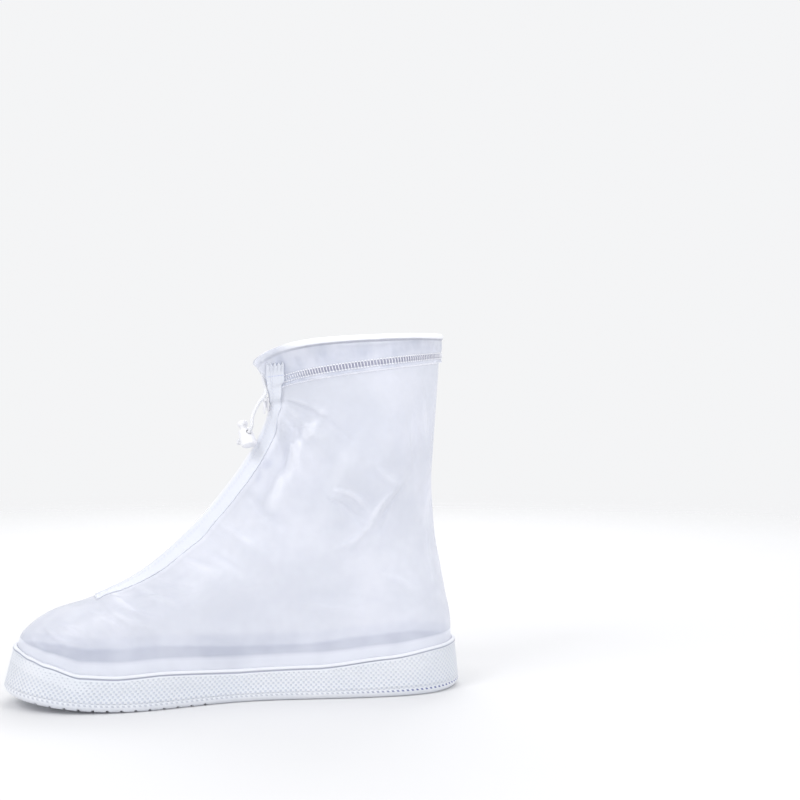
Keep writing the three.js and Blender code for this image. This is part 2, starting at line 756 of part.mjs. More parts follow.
function lockPlunger(end) {
  const neck = stemRadius - 0.5;
  const head = [-0.8, -0.4, 0, 0.4, 0.8, 1.2].map((turn) => [
    headRadius * Math.cos(turn), headCentre + headHeight * Math.sin(turn)]);
  const solid = toManifold(turned([[0, stemBottom], [stemRadius - 0.4, stemBottom],
    [stemRadius, stemBottom + 0.4], [stemRadius, barrelLength - 0.2], [neck, barrelLength + 0.4],
    [neck, headCentre - headHeight * 0.86], ...head, [0, headCentre + headHeight]], lockSides)
    .scale(lockFlat, 1, 1));
  const slotHeight = 2 * crossHole.radius + plungerTravel - 0.2;
  const slot = box(4 * stemRadius, 2 * crossHole.radius, slotHeight, 0, 0,
    crossHole.height - crossHole.radius + 0.1 + slotHeight / 2);
  return onLock(fromManifold(solid.subtract(slot)), end);
}

function cordKnot(end) {
  const { origin, head, onward, wide } = lockFrame(end, lockSide + 1.9 + knotGap);
  const profile = [[0, 0], [1.3, 0], [2.2, 0.6], [2.4, 1.8], [2.1, 3.2], [1.3, 3.8], [1.2, 5.4], [0, 5.4]];
  return turned(profile, 10)
    .applyMatrix4(new THREE.Matrix4().makeBasis(wide, head, onward).setPosition(origin));
}

addPiece('sole', sole(), finishes.sole);
addPiece('upper_film', filmUpper(), finishes.film);
addPiece('cuff', cuff(), finishes.hem);
addPiece('drawcord_rim', rimCord(), finishes.elastic);
addPiece('zip_tape_inner', zipTape('in'), finishes.tape);
addPiece('zip_tape_outer', zipTape('out'), finishes.tape);
addPiece('zip_coil', zipCoil(), finishes.coil);
addPiece('zip_slider', slider(), finishes.plastic);
addPiece('zip_pull', pull(), finishes.plastic);
for (const [side, end] of Object.entries(cordEnds)) {
  addPiece(`cord_end_${side}`, cordEnd(end), finishes.elastic);
  addPiece(`cord_lock_${side}`, lockBarrel(end), finishes.plastic);
  addPiece(`lock_plunger_${side}`, lockPlunger(end), finishes.plastic);
  addPiece(`cord_knot_${side}`, cordKnot(end), finishes.elastic);
}

export default cover;
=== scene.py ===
import math
import bmesh
import bpy
import numpy as np
from mathutils import Matrix, Vector


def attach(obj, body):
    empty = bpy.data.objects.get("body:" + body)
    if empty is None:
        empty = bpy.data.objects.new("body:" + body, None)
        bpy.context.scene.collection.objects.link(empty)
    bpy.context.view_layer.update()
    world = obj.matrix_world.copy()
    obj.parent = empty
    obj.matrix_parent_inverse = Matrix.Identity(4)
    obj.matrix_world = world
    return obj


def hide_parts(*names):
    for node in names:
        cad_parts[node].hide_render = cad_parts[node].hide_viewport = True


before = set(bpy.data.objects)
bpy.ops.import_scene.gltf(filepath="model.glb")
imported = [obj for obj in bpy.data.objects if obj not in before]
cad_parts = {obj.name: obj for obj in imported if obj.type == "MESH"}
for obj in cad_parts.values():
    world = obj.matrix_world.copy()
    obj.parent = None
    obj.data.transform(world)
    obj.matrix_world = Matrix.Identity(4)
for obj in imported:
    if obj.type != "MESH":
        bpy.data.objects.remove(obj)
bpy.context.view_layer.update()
scene = bpy.context.scene


# Camera: level at the height of the cuff, a little ahead of the toe-side of the middle, looking
# across the inner side of the cover and slightly towards the heel.
view_yaw = math.radians(11)
camera_data = bpy.data.cameras.new("camera")
camera_data.lens = 60.26
camera_data.sensor_width = 36
camera_data.clip_start, camera_data.clip_end = 0.05, 20
camera = bpy.data.objects.new("camera", camera_data)
camera.location = (-0.06255, -0.86603, 0.187)
camera.rotation_euler = (math.radians(90), 0, -view_yaw)
scene.collection.objects.link(camera)
scene.camera = camera


# Floor and light: a pale floor disc that fades out into a pale sky, and three large soft
# lamps, the strongest above and in front on the left.
class Sock:
    """A node socket in shader maths; the other side of an operation may be a plain number."""
    tree = None

    def __init__(self, link):
        self.link = link

    @staticmethod
    def feed(socket, value):
        if isinstance(value, Sock):
            Sock.tree.links.new(value.link, socket)
        elif socket.type == "RGBA":
            socket.default_value = (*value, 1)
        else:
            socket.default_value = value

    @staticmethod
    def node(kind, settings=None, out=0, **inputs):
        """Any node: type, settings, output and socket values, where i0, i1... are sockets by number."""
        made = Sock.tree.nodes.new(kind)
        for key, value in (settings or {}).items():
            setattr(made, key, value)
        for key, value in inputs.items():
            Sock.feed(made.inputs[int(key[1:]) if key[1:].isdigit() else key], value)
        return Sock(made.outputs[out])

    @staticmethod
    def maths(operation, *values):
        return Sock.node("ShaderNodeMath", {"operation": operation},
                         **{f"i{i}": value for i, value in enumerate(values)})

    def __add__(self, other): return Sock.maths("ADD", self, other)
    def __radd__(self, other): return Sock.maths("ADD", other, self)
    def __sub__(self, other): return Sock.maths("SUBTRACT", self, other)
    def __rsub__(self, other): return Sock.maths("SUBTRACT", other, self)
    def __mul__(self, other): return Sock.maths("MULTIPLY", self, other)
    def __rmul__(self, other): return Sock.maths("MULTIPLY", other, self)
    def __truediv__(self, other): return Sock.maths("DIVIDE", self, other)
    def sine(self): return Sock.maths("SINE", self)
    def cosine(self): return Sock.maths("COSINE", self)
    def size(self): return Sock.maths("ABSOLUTE", self)
    def least(self, other): return Sock.maths("MINIMUM", self, other)
    def most(self, other): return Sock.maths("MAXIMUM", self, other)

    def step(self, low, high):
        """0 below low, 1 above high, smooth between."""
        return Sock.node("ShaderNodeMapRange", {"interpolation_type": "SMOOTHSTEP"},
                         i0=self, i1=low, i2=high, i3=0.0, i4=1.0)

    def band(self, middle, near, far):
        """1 nearer to middle than near, 0 beyond far, smooth between."""
        return 1 - (self - middle).size().step(near, far)

    def colour(self, first, second):
        """first where this is 0, second where it is 1."""
        return Sock.node("ShaderNodeMix", {"data_type": "RGBA"}, out=2, i0=self, i6=first, i7=second)


def attribute(name, part="x"):
    vector = Sock.node("ShaderNodeAttribute", {"attribute_name": name}, out="Vector")
    return Sock.node("ShaderNodeSeparateXYZ", out="xyz".index(part), i0=vector)


def noise(scale, detail=2.0, roughness=0.5):
    place = Sock.node("ShaderNodeTexCoord", out="Object")
    return Sock.node("ShaderNodeTexNoise", Vector=place, Scale=scale, Detail=detail, Roughness=roughness)


def finish(name, make):
    """A material: make() gives its shader's values, and as height a bump's height, distance, strength."""
    made = bpy.data.materials.new(name)
    made.use_nodes = True
    Sock.tree = made.node_tree
    shader = next(n for n in made.node_tree.nodes if n.type == "BSDF_PRINCIPLED")
    for key, value in make().items():
        if key == "height":
            height, distance, strength = value
            key, value = "Normal", Sock.node("ShaderNodeBump", Height=height, Distance=distance,
                                             Strength=strength)
        Sock.feed(shader.inputs[key], value)
    return made


floor_near, floor_far = 0.75, 1.9


def floor_look():
    away = Sock.node("ShaderNodeVectorMath", {"operation": "LENGTH"}, out=1,
                     i0=Sock.node("ShaderNodeTexCoord", out="Object"))
    return {"Base Color": (0.76, 0.76, 0.77), "Roughness": 0.7, "Specular IOR Level": 0.1,
            "Alpha": 1 - away.step(floor_near, floor_far)}


floor_rings = bmesh.new()
bmesh.ops.create_circle(floor_rings, cap_ends=True, radius=floor_far + 0.1, segments=96)
floor_data = bpy.data.meshes.new("floor")
floor_rings.to_mesh(floor_data)
floor_rings.free()
floor = bpy.data.objects.new("floor", floor_data)
scene.collection.objects.link(floor)
floor_data.materials.append(finish("floor", floor_look))
scene.view_settings.view_transform = "Standard"

world = bpy.data.worlds.new("sky")
world.use_nodes = True
scene.world = world
background = world.node_tree.nodes["Background"]
background.inputs[0].default_value = (0.985, 0.99, 1, 1)
background.inputs[1].default_value = 0.92


def lamp(name, where, aim, width, height, power):
    data = bpy.data.lights.new(name, "AREA")
    data.shape = "RECTANGLE"
    data.size = width
    data.size_y = height
    data.energy = power
    made = bpy.data.objects.new(name, data)
    made.location = where
    made.rotation_euler = (Vector(aim) - Vector(where)).to_track_quat("-Z", "Y").to_euler()
    scene.collection.objects.link(made)


lamp("key", (-1.1, -0.9, 1.5), (0, 0, 0.1), 0.7, 0.7, 11)
lamp("strip", (0.9, -1.3, 0.9), (0, 0, 0.12), 0.25, 1.3, 6)
lamp("back", (0.3, 1.3, 1.2), (0, 0, 0.1), 1.2, 0.7, 9)


# Free ends of the drawcord: a round braided elastic cord, 2.4 mm thick, that comes out of the cuff's
# casing at the front and runs through a cord lock to a knot.
origin_s, origin_y = 145.15, -1.97


def place(points):
    """Millimetres from the toe's tip, across and up, as metres in the part's frame."""
    points = np.asarray(points, float)
    return (points - (origin_s, origin_y, 0)) / 1000


def mesh_piece(name, vertices, faces, material, **attributes):
    data = bpy.data.meshes.new(name)
    data.from_pydata([tuple(v) for v in vertices], [], [tuple(f) for f in faces])
    for key, values in attributes.items():
        layer = data.attributes.new(key, "FLOAT_VECTOR", "POINT")
        layer.data.foreach_set("vector", np.asarray(values, float).ravel())
    data.materials.append(material)
    data.shade_smooth()
    data.update()
    made = bpy.data.objects.new(name, data)
    scene.collection.objects.link(made)
    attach(made, "cover")
    return made


def columns_of(*values):
    """Values side by side in a last axis, stretched to one shape."""
    return np.stack(np.broadcast_arrays(*values), axis=-1)


def grid_faces(rows, cols, closed=False, flip=False):
    wide = cols if closed else cols - 1
    i, j = np.meshgrid(np.arange(rows - 1), np.arange(wide), indexing="ij")
    k = (j + 1) % cols
    quads = np.stack([i * cols + j, i * cols + k, (i + 1) * cols + k, (i + 1) * cols + j], axis=-1)
    quads = quads.reshape(-1, 4)
    return quads[:, ::-1] if flip else quads


def run_along(points):
    """Distance along a polyline, at each of its points."""
    return np.concatenate([[0], np.cumsum(np.linalg.norm(np.diff(points, axis=0), axis=1))])


def centripetal(points, per_span):
    """The same curve through the points as the solid's: centripetal Catmull-Rom."""
    points = np.asarray(points, float)
    ends = [2 * points[0] - points[1], *points, 2 * points[-1] - points[-2]]
    out = []
    for i in range(len(points) - 1):
        a, b, c, d = ends[i:i + 4]
        t0, t1, t2 = (max(np.linalg.norm(q - p), 1e-4) ** 0.5 for p, q in ((a, b), (b, c), (c, d)))
        first = ((b - a) / t0 - (c - a) / (t0 + t1) + (c - b) / t1) * t1
        second = ((c - b) / t1 - (d - b) / (t1 + t2) + (d - c) / t2) * t1
        for k in range(per_span):
            t = k / per_span
            out.append((2 * t**3 - 3 * t**2 + 1) * b + (t**3 - 2 * t**2 + t) * first
                       + (3 * t**2 - 2 * t**3) * c + (t**3 - t**2) * second)
    return np.array([*out, points[-1]])


def evenly(points, step):
    """Points step apart along a polyline."""
    run = run_along(points)
    at = np.linspace(0, run[-1], max(2, round(run[-1] / step) + 1))
    return np.stack([np.interp(at, run, points[:, i]) for i in range(3)], axis=1)


def frames_along(points):
    """Two directions across a line, at each of its points, that turn as little as possible."""
    tangents = np.gradient(points, axis=0)
    tangents /= np.linalg.norm(tangents, axis=1, keepdims=True)
    side = np.cross(tangents[0], (0, 1, 0) if abs(tangents[0][1]) < 0.8 else (1, 0, 0))
    sides = []
    for t in tangents:
        side = side - t * (side @ t)
        side = side / np.linalg.norm(side)
        sides.append(side)
    sides = np.array(sides)
    return sides, np.cross(tangents, sides)


def rod_faces(rows, sides):
    """Faces of a rod of rings, with its two ends."""
    last = (rows - 1) * sides
    ends = [[*range(sides)][::-1], [*range(last, last + sides)]]
    return grid_faces(rows, sides, closed=True).tolist() + ends


def tube(name, points, radius, material, sides=20):
    """A round tube with rounded ends, points in metres; attribute lay is (turn 0 to 1, mm along, 0)."""
    first, last = points[0] - points[1], points[-1] - points[-2]
    turns = np.linspace(0, np.pi / 2, 5)[:-1]
    bulge = radius * 0.45 * np.cos(turns)[:, None]
    head = points[0] + bulge * first / np.linalg.norm(first)
    tail = points[-1] + bulge[::-1] * last / np.linalg.norm(last)
    cap = radius * np.sin(turns) + radius * 0.04
    radii = np.concatenate([cap, np.full(len(points), radius), cap[::-1]])
    points = np.concatenate([head, points, tail])
    side_a, side_b = frames_along(points)
    share = np.arange(sides) / sides
    turn = (share * 2 * np.pi)[None, :, None]
    rings = points[:, None] + radii[:, None, None] * (
        np.cos(turn) * side_a[:, None] + np.sin(turn) * side_b[:, None])
    lay = columns_of(share, run_along(points)[:, None] * 1000, 0.0)
    return mesh_piece(name, rings.reshape(-1, 3), rod_faces(len(points), sides), material,
                      lay=lay.reshape(-1, 3))


strand_turns, braid_lay = 6, 2.6


def braid_look():
    turn, run = attribute("lay", "x") * strand_turns, attribute("lay", "y") / braid_lay
    strands = ((turn + run) * (2 * math.pi)).sine().most(((turn - run) * (2 * math.pi)).sine())
    return {"Base Color": strands.step(-0.5, 0.6).colour((0.72, 0.73, 0.78), (0.88, 0.885, 0.91)),
            "Roughness": 0.78, "Sheen Weight": 0.25,
            "height": (strands * 0.8 + noise(2600) * 0.35, 0.00022, 0.7)}


braid = finish("white_braid", braid_look)
cord_diameter = 2.4
cord_ends = {
    "inner": {
        "route": [[167.5, -13.3, 216.1], [165, -10.8, 214.8], [162.5, -8, 213.7], [162, -5.1, 212.5],
                  [162.6, -2.9, 209.9], [161.6, -1.2, 206.8], [160.9, -0.4, 203.4], [161.3, -0.7, 199.6],
                  [162.2, -2.2, 195.4], [162, -4.8, 190.8], [157.9, -7.6, 185.6], [154.7, -10.4, 180],
                  [152.8, -12.9, 175.2], [152.6, -13.9, 171]],
        "cross": [149.5, -8.1, 164.7],
        "head": [-0.26, 0.42, 0.87],
        "onward": [-0.38, 0.83, -0.41],
    },
    "outer": {
        "route": [[167.5, 13.7, 216.1], [165, 11, 214.8], [162.5, 8.2, 213.7], [162.2, 5.2, 212.3],
                  [163.9, 2.5, 209.7], [165, 0.9, 206.3], [165, 0.4, 203], [165.2, 0.5, 199.6],
                  [165, 0.9, 196], [163, 2.9, 192.4], [162, 5.6, 189.6], [163.6, 9.4, 185],
                  [166.4, 13, 180], [167.6, 16.2, 173], [166.2, 19, 165.5], [164, 21.6, 158],
                  [162, 23.1, 151.4]],
        "cross": [161, 22.5, 146],
        "head": [-0.68, -0.71, 0.18],
        "onward": [-0.124, -0.13, -0.984],
    },
}
lock_wide, lock_flat = 5.3, 0.82
lock_thin = lock_wide * lock_flat
lead_in, lead_out = 0.6, 1.9
for side, end in cord_ends.items():
    head = np.array(end["head"]) / np.linalg.norm(end["head"])
    onward = np.array(end["onward"], float)
    onward -= head * (onward @ head)
    onward /= np.linalg.norm(onward)
    end["axes"] = (onward, np.cross(head, onward), head)
    cross = np.array(end["cross"], float)
    route = [*end["route"], *(cross + onward * along
                              for along in (-lock_thin - lead_in, 0, lock_thin + lead_out))]
    end["line"] = place(evenly(centripetal(route, 24), 0.6))
    end["piece"] = tube(f"cord_end_{side}_braid", end["line"], cord_diameter / 2000, braid)
    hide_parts(f"cord_end_{side}")


# Film upper: one sheet of frosted vinyl, shaped over the foot and ankle, open along the zip. It is
# milky with a lilac-blue cast, satin, and whiter where it lies double; along the ridges of its creases it
# carries a painted highlight.
toe_spring, toe_spring_end = 9, 90
heel_spring, heel_spring_start, heel_end = 1.5, 262, 290
sole_floor, fit = 3.4, 0.4
brim_heights = np.array([[0, 38.5], [9, 36], [18, 32.5], [28, 29], [48, 22.8], [70, 21.4], [95, 22.4],
                         [143, 19.8], [192, 20.6], [237, 25.4], [270, 29.6], [291, 31.6]])
brim_show = 1.2
columns = ("frontS", "frontZ", "backS", "backZ", "droop", "toeIn", "front",
           "ballIn", "waistIn", "heelIn", "ballOut", "waistOut", "heelOut", "back")
levels = [dict(zip(("name",) + columns, row)) for row in (
    ("floor", 3.4, 0, 286.9, 0, 0, -9, 76, 54.5, 33.7, 43.5, 54.5, 48.7, 46.4, 69),
    ("brim", 8.9, 0, 284.8, 0, 0, -9, 72, 51.4, 31.5, 41.0, 51.4, 46.0, 44.0, 66),
    ("toe_cap", 13.8, 45.8, 284.2, 46, 0, -8, 63, 46.0, 33.0, 40.4, 47.5, 43.0, 42.7, 64),
    ("toe_top", 28, 55.4, 281, 62, 0, -7, 54, 41.5, 33.0, 40.4, 42.7, 40.0, 41.6, 58),
    ("zip_foot", 52, 62.8, 277.7, 80, 0, -4, 36, 36.0, 34.0, 40.0, 37.0, 37.0, 41.0, 50),
    ("vamp", 84.8, 78.8, 274.5, 98, 0, -2, 17, 31.0, 36.0, 40.0, 33.0, 37.5, 41.0, 41),
    ("instep", 119, 108.7, 273, 115, 0, 0, 12, 30.5, 37.5, 41.6, 32.5, 38.5, 42.0, 36),
    ("throat", 147.2, 143.5, 272, 135, 0, 0, 10.5, 31.0, 39.0, 42.7, 32.5, 39.5, 42.7, 33),
    ("ankle", 162.4, 171, 273.5, 160, 0, 0, 10, 32.0, 40.5, 43.3, 34.0, 40.5, 43.3, 31),
    ("hem", 165.6, 194, 276.8, 207.5, 5, 0, 10.5, 34.0, 42.0, 43.5, 36.0, 42.0, 43.5, 32),
    ("rim", 152.6, 225, 277.4, 230.5, 15, 0, 12.5, 36.0, 43.0, 44.0, 37.0, 43.0, 44.0, 34),
)]
droop_length = 14
folds = np.array([
    [-1, 169, 188, 194, 171, 4.5, -1.8], [-1, 169, 180, 186, 152, 5.5, 1.8],
    [-1, 167, 174, 172, 146, 4.5, -1.5], [-1, 186, 172, 222, 134, 9, 2.0],
    [-1, 241, 132, 216, 99, 6, 2.4], [-1, 254, 134, 232, 108, 6, -2.0], [-1, 211, 146, 201, 112, 7, 2.0],
    [-1, 262, 158, 266, 118, 8, -2.2], [-1, 62, 66, 86, 49, 5, 1.8], [-1, 58, 50, 78, 41, 5, -1.4],
    [-1, 118, 102, 152, 80, 8, -1.8], [1, 169, 188, 196, 168, 5, -1.8], [1, 169, 178, 190, 148, 6, 1.8],
    [1, 188, 174, 228, 128, 9, 2.2], [1, 246, 138, 214, 102, 7, 2.4], [1, 256, 150, 262, 114, 8, -2.2],
    [1, 66, 68, 92, 50, 6, 1.8], [1, 116, 102, 150, 82, 8, -1.8]])
creases = np.array([
    [171, 189, 200, 176, 1.8, 0.8, -2], [172, 187, 214, 160, 2.2, -0.8, -3],
    [172, 184, 196, 158, 2.0, 0.8, -2], [171, 180, 192, 142, 2.0, -0.8, -3],
    [170, 175, 183, 134, 2.0, 0.9, -2], [167, 168, 172, 128, 2.0, -0.7, -2],
    [197, 181, 157, 106, 4.6, 1.5, 2], [188, 182, 149, 110, 5.0, -1.2, 2],
    [222, 170, 190, 100, 8.0, 0.8, 4], [203, 131, 224, 114, 2.4, 1.0, -4],
    [199, 125, 219, 105, 2.2, -0.9, -4], [228, 146, 248, 134, 3.0, 0.8, 3],
    [238, 130, 222, 102, 2.2, 1.1, 3], [248, 131, 232, 99, 2.6, -1.0, 3],
    [224, 110, 200, 93, 2.4, 0.8, -3], [262, 190, 271, 150, 3.0, 0.8, 2],
    [254, 178, 262, 134, 3.2, -0.8, 2], [271, 142, 262, 100, 2.6, 0.9, -2],
    [266, 102, 270, 64, 2.6, 0.6, 1], [62, 62, 86, 50, 1.8, 0.9, 2], [68, 66, 98, 56, 1.8, -0.8, 2],
    [54, 58, 74, 44, 1.8, 0.8, -2], [78, 72, 110, 62, 2.2, 0.7, 2], [90, 78, 122, 72, 2.4, -0.7, 2],
    [104, 90, 138, 80, 2.6, 0.7, 2], [26, 50, 46, 40, 1.8, 0.6, 2], [34, 52, 56, 38, 1.8, -0.6, -2],
    [18, 44, 28, 36, 1.6, 0.5, 1], [132, 112, 164, 92, 3.2, 0.8, 3], [150, 126, 180, 104, 3.4, -0.8, 3],
    [120, 92, 152, 70, 3.4, 0.6, -3], [180, 60, 234, 55, 5.0, 0.6, 2], [110, 48, 162, 42, 5.0, 0.5, 2],
    [236, 76, 262, 60, 4.0, 0.7, -2]])
outer_shift = np.array([5, -4, -3, 3, 0.3, 0, 1])


def catmull(a, b, c, d, t):
    return 0.5 * (2 * b + (c - a) * t + (2 * a - 5 * b + 4 * c - d) * t * t
                  + (3 * b - 3 * c + d - a) * t**3)


def spline(values, at):
    values = np.asarray(values, float)
    values = np.concatenate([[2 * values[0] - values[1]], values, [2 * values[-1] - values[-2]]])
    i = np.clip(np.floor(at), 0, len(values) - 4).astype(int)
    return catmull(values[i], values[i + 1], values[i + 2], values[i + 3], at - i)


def brim_height(s):
    i = np.clip(np.searchsorted(brim_heights[:, 0], s, side="left") - 1, 0, len(brim_heights) - 2)
    low, high = brim_heights[i], brim_heights[i + 1]
    t = np.clip((s - low[..., 0]) / (high[..., 0] - low[..., 0]), 0, 1)
    return low[..., 1] + (high[..., 1] - low[..., 1]) * (0.5 * t + 0.25 * (1 - np.cos(np.pi * t)))


def sole_lift(s):
    toe = np.maximum(0, 1 - s / toe_spring_end)
    heel = np.maximum(0, (s - heel_spring_start) / (heel_end - heel_spring_start))
    return toe_spring * toe**2 + heel_spring * heel**2


def level_point(level, angle):
    t = (1 - np.cos(angle)) / 2
    length = level["backS"] - level["frontS"]
    s = level["frontS"] + t * length
    inner = np.sin(angle) > 0
    inside, outside = (
        spline([level[k] for k in ("front", "ball" + way, "waist" + way, "heel" + way, "back")], 4 * t)
        for way in ("In", "Out"))
    half = np.abs(np.sin(angle)) * np.where(inner, inside, outside)
    y = np.where(inner, -half, half) + level["toeIn"] * (1 - t)**3
    z = (level["frontZ"] + (level["backZ"] - level["frontZ"]) * t
         - level["droop"] * np.exp(-t * length / droop_length))
    if level["name"] == "floor":
        z = sole_lift(s) + sole_floor + fit
    if level["name"] == "brim":
        z = brim_height(s) + brim_show
    return np.stack([s, y, z], axis=-1)


def film_point(at, angle):
    """Points of the film at levels and angles of the same shape."""
    at, angle = np.broadcast_arrays(np.asarray(at, float), np.asarray(angle, float))
    rows = np.stack([level_point(level, angle) for level in levels])
    rows = np.concatenate([rows, (2 * rows[-1] - rows[-2])[None]])
    i = np.clip(np.floor(at), 0, len(levels) - 2).astype(int)
    t = (at - i)[..., None]

    def row(k):
        return np.take_along_axis(rows, k[None, ..., None], axis=0)[0]

    b, c = row(i), row(i + 1)
    curved = catmull(row(np.maximum(i - 1, 0)), b, c, row(i + 2), t)
    return np.where((i == 0)[..., None], b + (c - b) * t, curved)


def film_normal(at, angle):
    step = 0.002
    low = np.maximum(0, at - step)
    up = film_point(low + 2 * step, angle) - film_point(low, angle)
    around = film_point(at, angle + step) - film_point(at, angle - step)
    normal = np.cross(around, up)
    return normal / np.maximum(np.linalg.norm(normal, axis=-1, keepdims=True), 1e-12)


def smooth_step(x, low, high):
    t = np.clip((x - low) / (high - low), 0, 1)
    return t * t * (3 - 2 * t)


def off_line(points, s0, z0, s1, z1):
    """How far points lie along and across a line of the side view, and the line's length."""
    length = math.hypot(s1 - s0, z1 - z0)
    ds, dz = points[..., 0] - s0, points[..., 2] - z0
    return (ds * (s1 - s0) + dz * (z1 - z0)) / length, (ds * (z1 - z0) - dz * (s1 - s0)) / length, length


def fold_height(points, sign):
    """Broad folds, the same as the solid's."""
    height = np.zeros(points.shape[:-1])
    for side, *line, half, tall in folds:
        along, across, length = off_line(points, *line)
        past = np.maximum(0, np.maximum(-along, along - length))
        fold = tall * np.exp(-(across / half)**2) * np.exp(-(past / (1.5 * half))**2)
        height += np.where(sign == side, fold, 0)
    return height


def crease_height(points, sign):
    """Fine creases: each bows a little to one side and dies out towards both of its ends."""
    height = np.zeros(points.shape[:-1])
    for side, table in ((-1, creases), (1, creases + outer_shift)):
        for *line, half, tall, bow in table:
            along, across, length = off_line(points, *line)
            inside = np.clip(along / length, 0, 1)
            across = across - bow * 4 * inside * (1 - inside)
            fade = np.sin(np.pi * np.clip(along / length * 0.92 + 0.08, 0, 1)) ** 0.8
            width = half * (0.6 + 0.7 * inside)
            height += np.where(sign == side, tall * fade * np.exp(-(across / width)**2), 0)
    return height


def skin(at, angle, outward=0.0, fine=True):
    """The film's outer face moved outward, with its folds and, where fine is true, its creases."""
    points = film_point(at, angle)
    sign = np.where(angle < np.pi, -1, 1)
    aside = np.abs(np.sin(angle))
    calm = smooth_step(aside, 0.15, 0.5) * (1 - smooth_step(at, 8.3, 8.8)) * smooth_step(at, 1, 1.8)
    height = calm * fold_height(points, sign)
    if fine:
        near = smooth_step(aside, 0.22, 0.42) * (1 - smooth_step(at, 8.6, 9.0)) * smooth_step(at, 1, 1.4)
        height = height + near * crease_height(points, sign)
    return points + film_normal(at, angle) * (outward + height)[..., None]


def film_look():
    crease, double, highlight_ridge = attribute("film", "x"), attribute("film", "y"), attribute("film", "z")
    clouds = noise(22, 3)
    drawn = noise(75, 3, 0.6)
    grain = noise(1500, 3, 0.7)
    milky = clouds.step(0.34, 0.68)
    base = milky.colour((0.60, 0.63, 0.74), (0.72, 0.74, 0.84))
    # Ridges of the creases are lightened towards white: a painted highlight along them.
    painted_highlight = highlight_ridge * (0.45 + drawn.step(0.1, 0.7) * 0.3)
    base = (painted_highlight * 0.8).colour(base, (0.86, 0.875, 0.94))
    base = double.colour(base, (0.84, 0.86, 0.93))
    return {"Base Color": base,
            "Roughness": 0.27 + grain * 0.14 + drawn * 0.08,
            "Alpha": (0.42 + crease * 0.08 + milky * 0.10 + painted_highlight * 0.14
                      + double * 0.36).least(0.97),
            "height": (grain * 0.3 + drawn * 0.6 + clouds * 2.4, 0.0004, 0.5),
            "Specular IOR Level": 0.6}


film_material = finish("frosted_vinyl", film_look)
film_rows = np.concatenate([np.linspace(0.3, 4, 62), np.linspace(4, 10 - 0.3, 160)[1:]])
film_columns = 440
slot_half = 3.2
ridge = film_point(np.linspace(4, 9, 101), 0.0)


def slot_angle(at):
    """Angle at which the film is slot_half away from the zip line."""
    angles = np.linspace(0, 1, 400)
    gap = np.linalg.norm(film_point(at, angles)[:, None] - ridge[None], axis=2).min(axis=1)
    return angles[np.argmax(gap > slot_half)]


zip_foot_level, slot_top_level, front_cut = 4.05, 8.05, 0.3
slots = np.array([0.002 if at < zip_foot_level else min(slot_angle(at), front_cut) if at < slot_top_level
                  else front_cut for at in film_rows])
angle_grid = slots[:, None] + (2 * np.pi - 2 * slots[:, None]) * np.linspace(0, 1, film_columns)[None]
at_grid = np.broadcast_to(film_rows[:, None], angle_grid.shape)
film_points = skin(at_grid, angle_grid)
crease_mark = crease_height(film_point(at_grid, angle_grid), np.where(angle_grid < np.pi, -1, 1))
tucked = 1 - smooth_step(at_grid, 1.24, 1.33)
beside_zip = np.full(at_grid.shape, 99.0)
for start in range(0, len(ridge), 2):
    beside_zip = np.minimum(beside_zip, np.linalg.norm(film_points - ridge[start], axis=-1))
turned_in = (1 - smooth_step(beside_zip, 10.5, 16)) * smooth_step(at_grid, 3.9, 4.2)
# The third column marks the ridges of the creases, where the film gets its painted highlight.
film_data = columns_of(np.clip(np.abs(crease_mark), 0, 1), np.maximum(tucked * 0.7, turned_in * 0.55),
                       np.clip(crease_mark, 0, 1)**2)
film = mesh_piece("film_upper", place(film_points).reshape(-1, 3), grid_faces(*angle_grid.shape),
                  film_material, film=film_data.reshape(-1, 3))
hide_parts("upper_film")


# Sole: a moulded tray of milky vinyl, welded round the film. Its wall flares down to a smooth welt
# over cross-grooved treads, and carries small raised diamonds below a fine groove under the brim, whose
# dark line is painted shade.
tread_zones, tread_pitch = ((22, 122), (212, 272)), 8.3
groove_half, groove_deep, groove_edge = 0.65, 1.4, 0.2
groove_places = [s for low, high in tread_zones for s in np.arange(low, high + 0.01, tread_pitch)]


def sole_angles():
    """Angles round the tray with columns on both edges of every groove."""
    front, back = levels[0]["frontS"], levels[0]["backS"]
    s = list(np.arange(14, 277, 1.6))
    for middle in groove_places:
        s = [v for v in s if abs(v - middle) > groove_half + groove_edge + 0.35]
        s += [middle - groove_half - groove_edge, middle - groove_half, middle + groove_half,
              middle + groove_half + groove_edge]
    s = np.array(sorted(s))
    inner = np.arccos(1 - 2 * (s - front) / (back - front))
    return np.concatenate([np.linspace(0, inner[0], 16)[:-1], inner, np.linspace(inner[-1], np.pi, 16)[1:]])


def groove_at(s, reach):
    """1 in a groove, 0 between grooves, times how far the grooves reach there."""
    deep = np.zeros_like(s)
    for middle in groove_places:
        inside = 1 - smooth_step(np.abs(s - middle), groove_half, groove_half + groove_edge)
        deep = np.maximum(deep, inside * reach)
    return deep


half_angles = sole_angles()
around = np.concatenate([half_angles, 2 * np.pi - half_angles[-2:0:-1]])
outer_out, corner = fit + 2.4, 3.6
forefoot_middle, forefoot_half, heel_treads, heel_tread_half = 80, 62, 180, 28
wall_rows = [("corner", t) for t in np.linspace(0, np.pi / 2, 6)]
wall_rows += [("wall", outer_out - less, t) for less, t in (
    (0.05, 0.03), (0.5, 0.05), (0.5, 0.075), (0, 0.1), *((0.6 * t, t) for t in np.linspace(0.14, 0.8, 14)),
    (0.55, 0.83), (0.75, 0.845), (0.75, 0.86), (0.3, 0.875), (0.15, 0.90), (0.25, 0.935), (0.7, 0.955),
    (1.6, 0.96), (2.35, 0.955))]
wall_rows += [("wall", fit, t) for t in (0.8, 0.5, 0.2, 0.0)] + [("floor", fit, 0)]


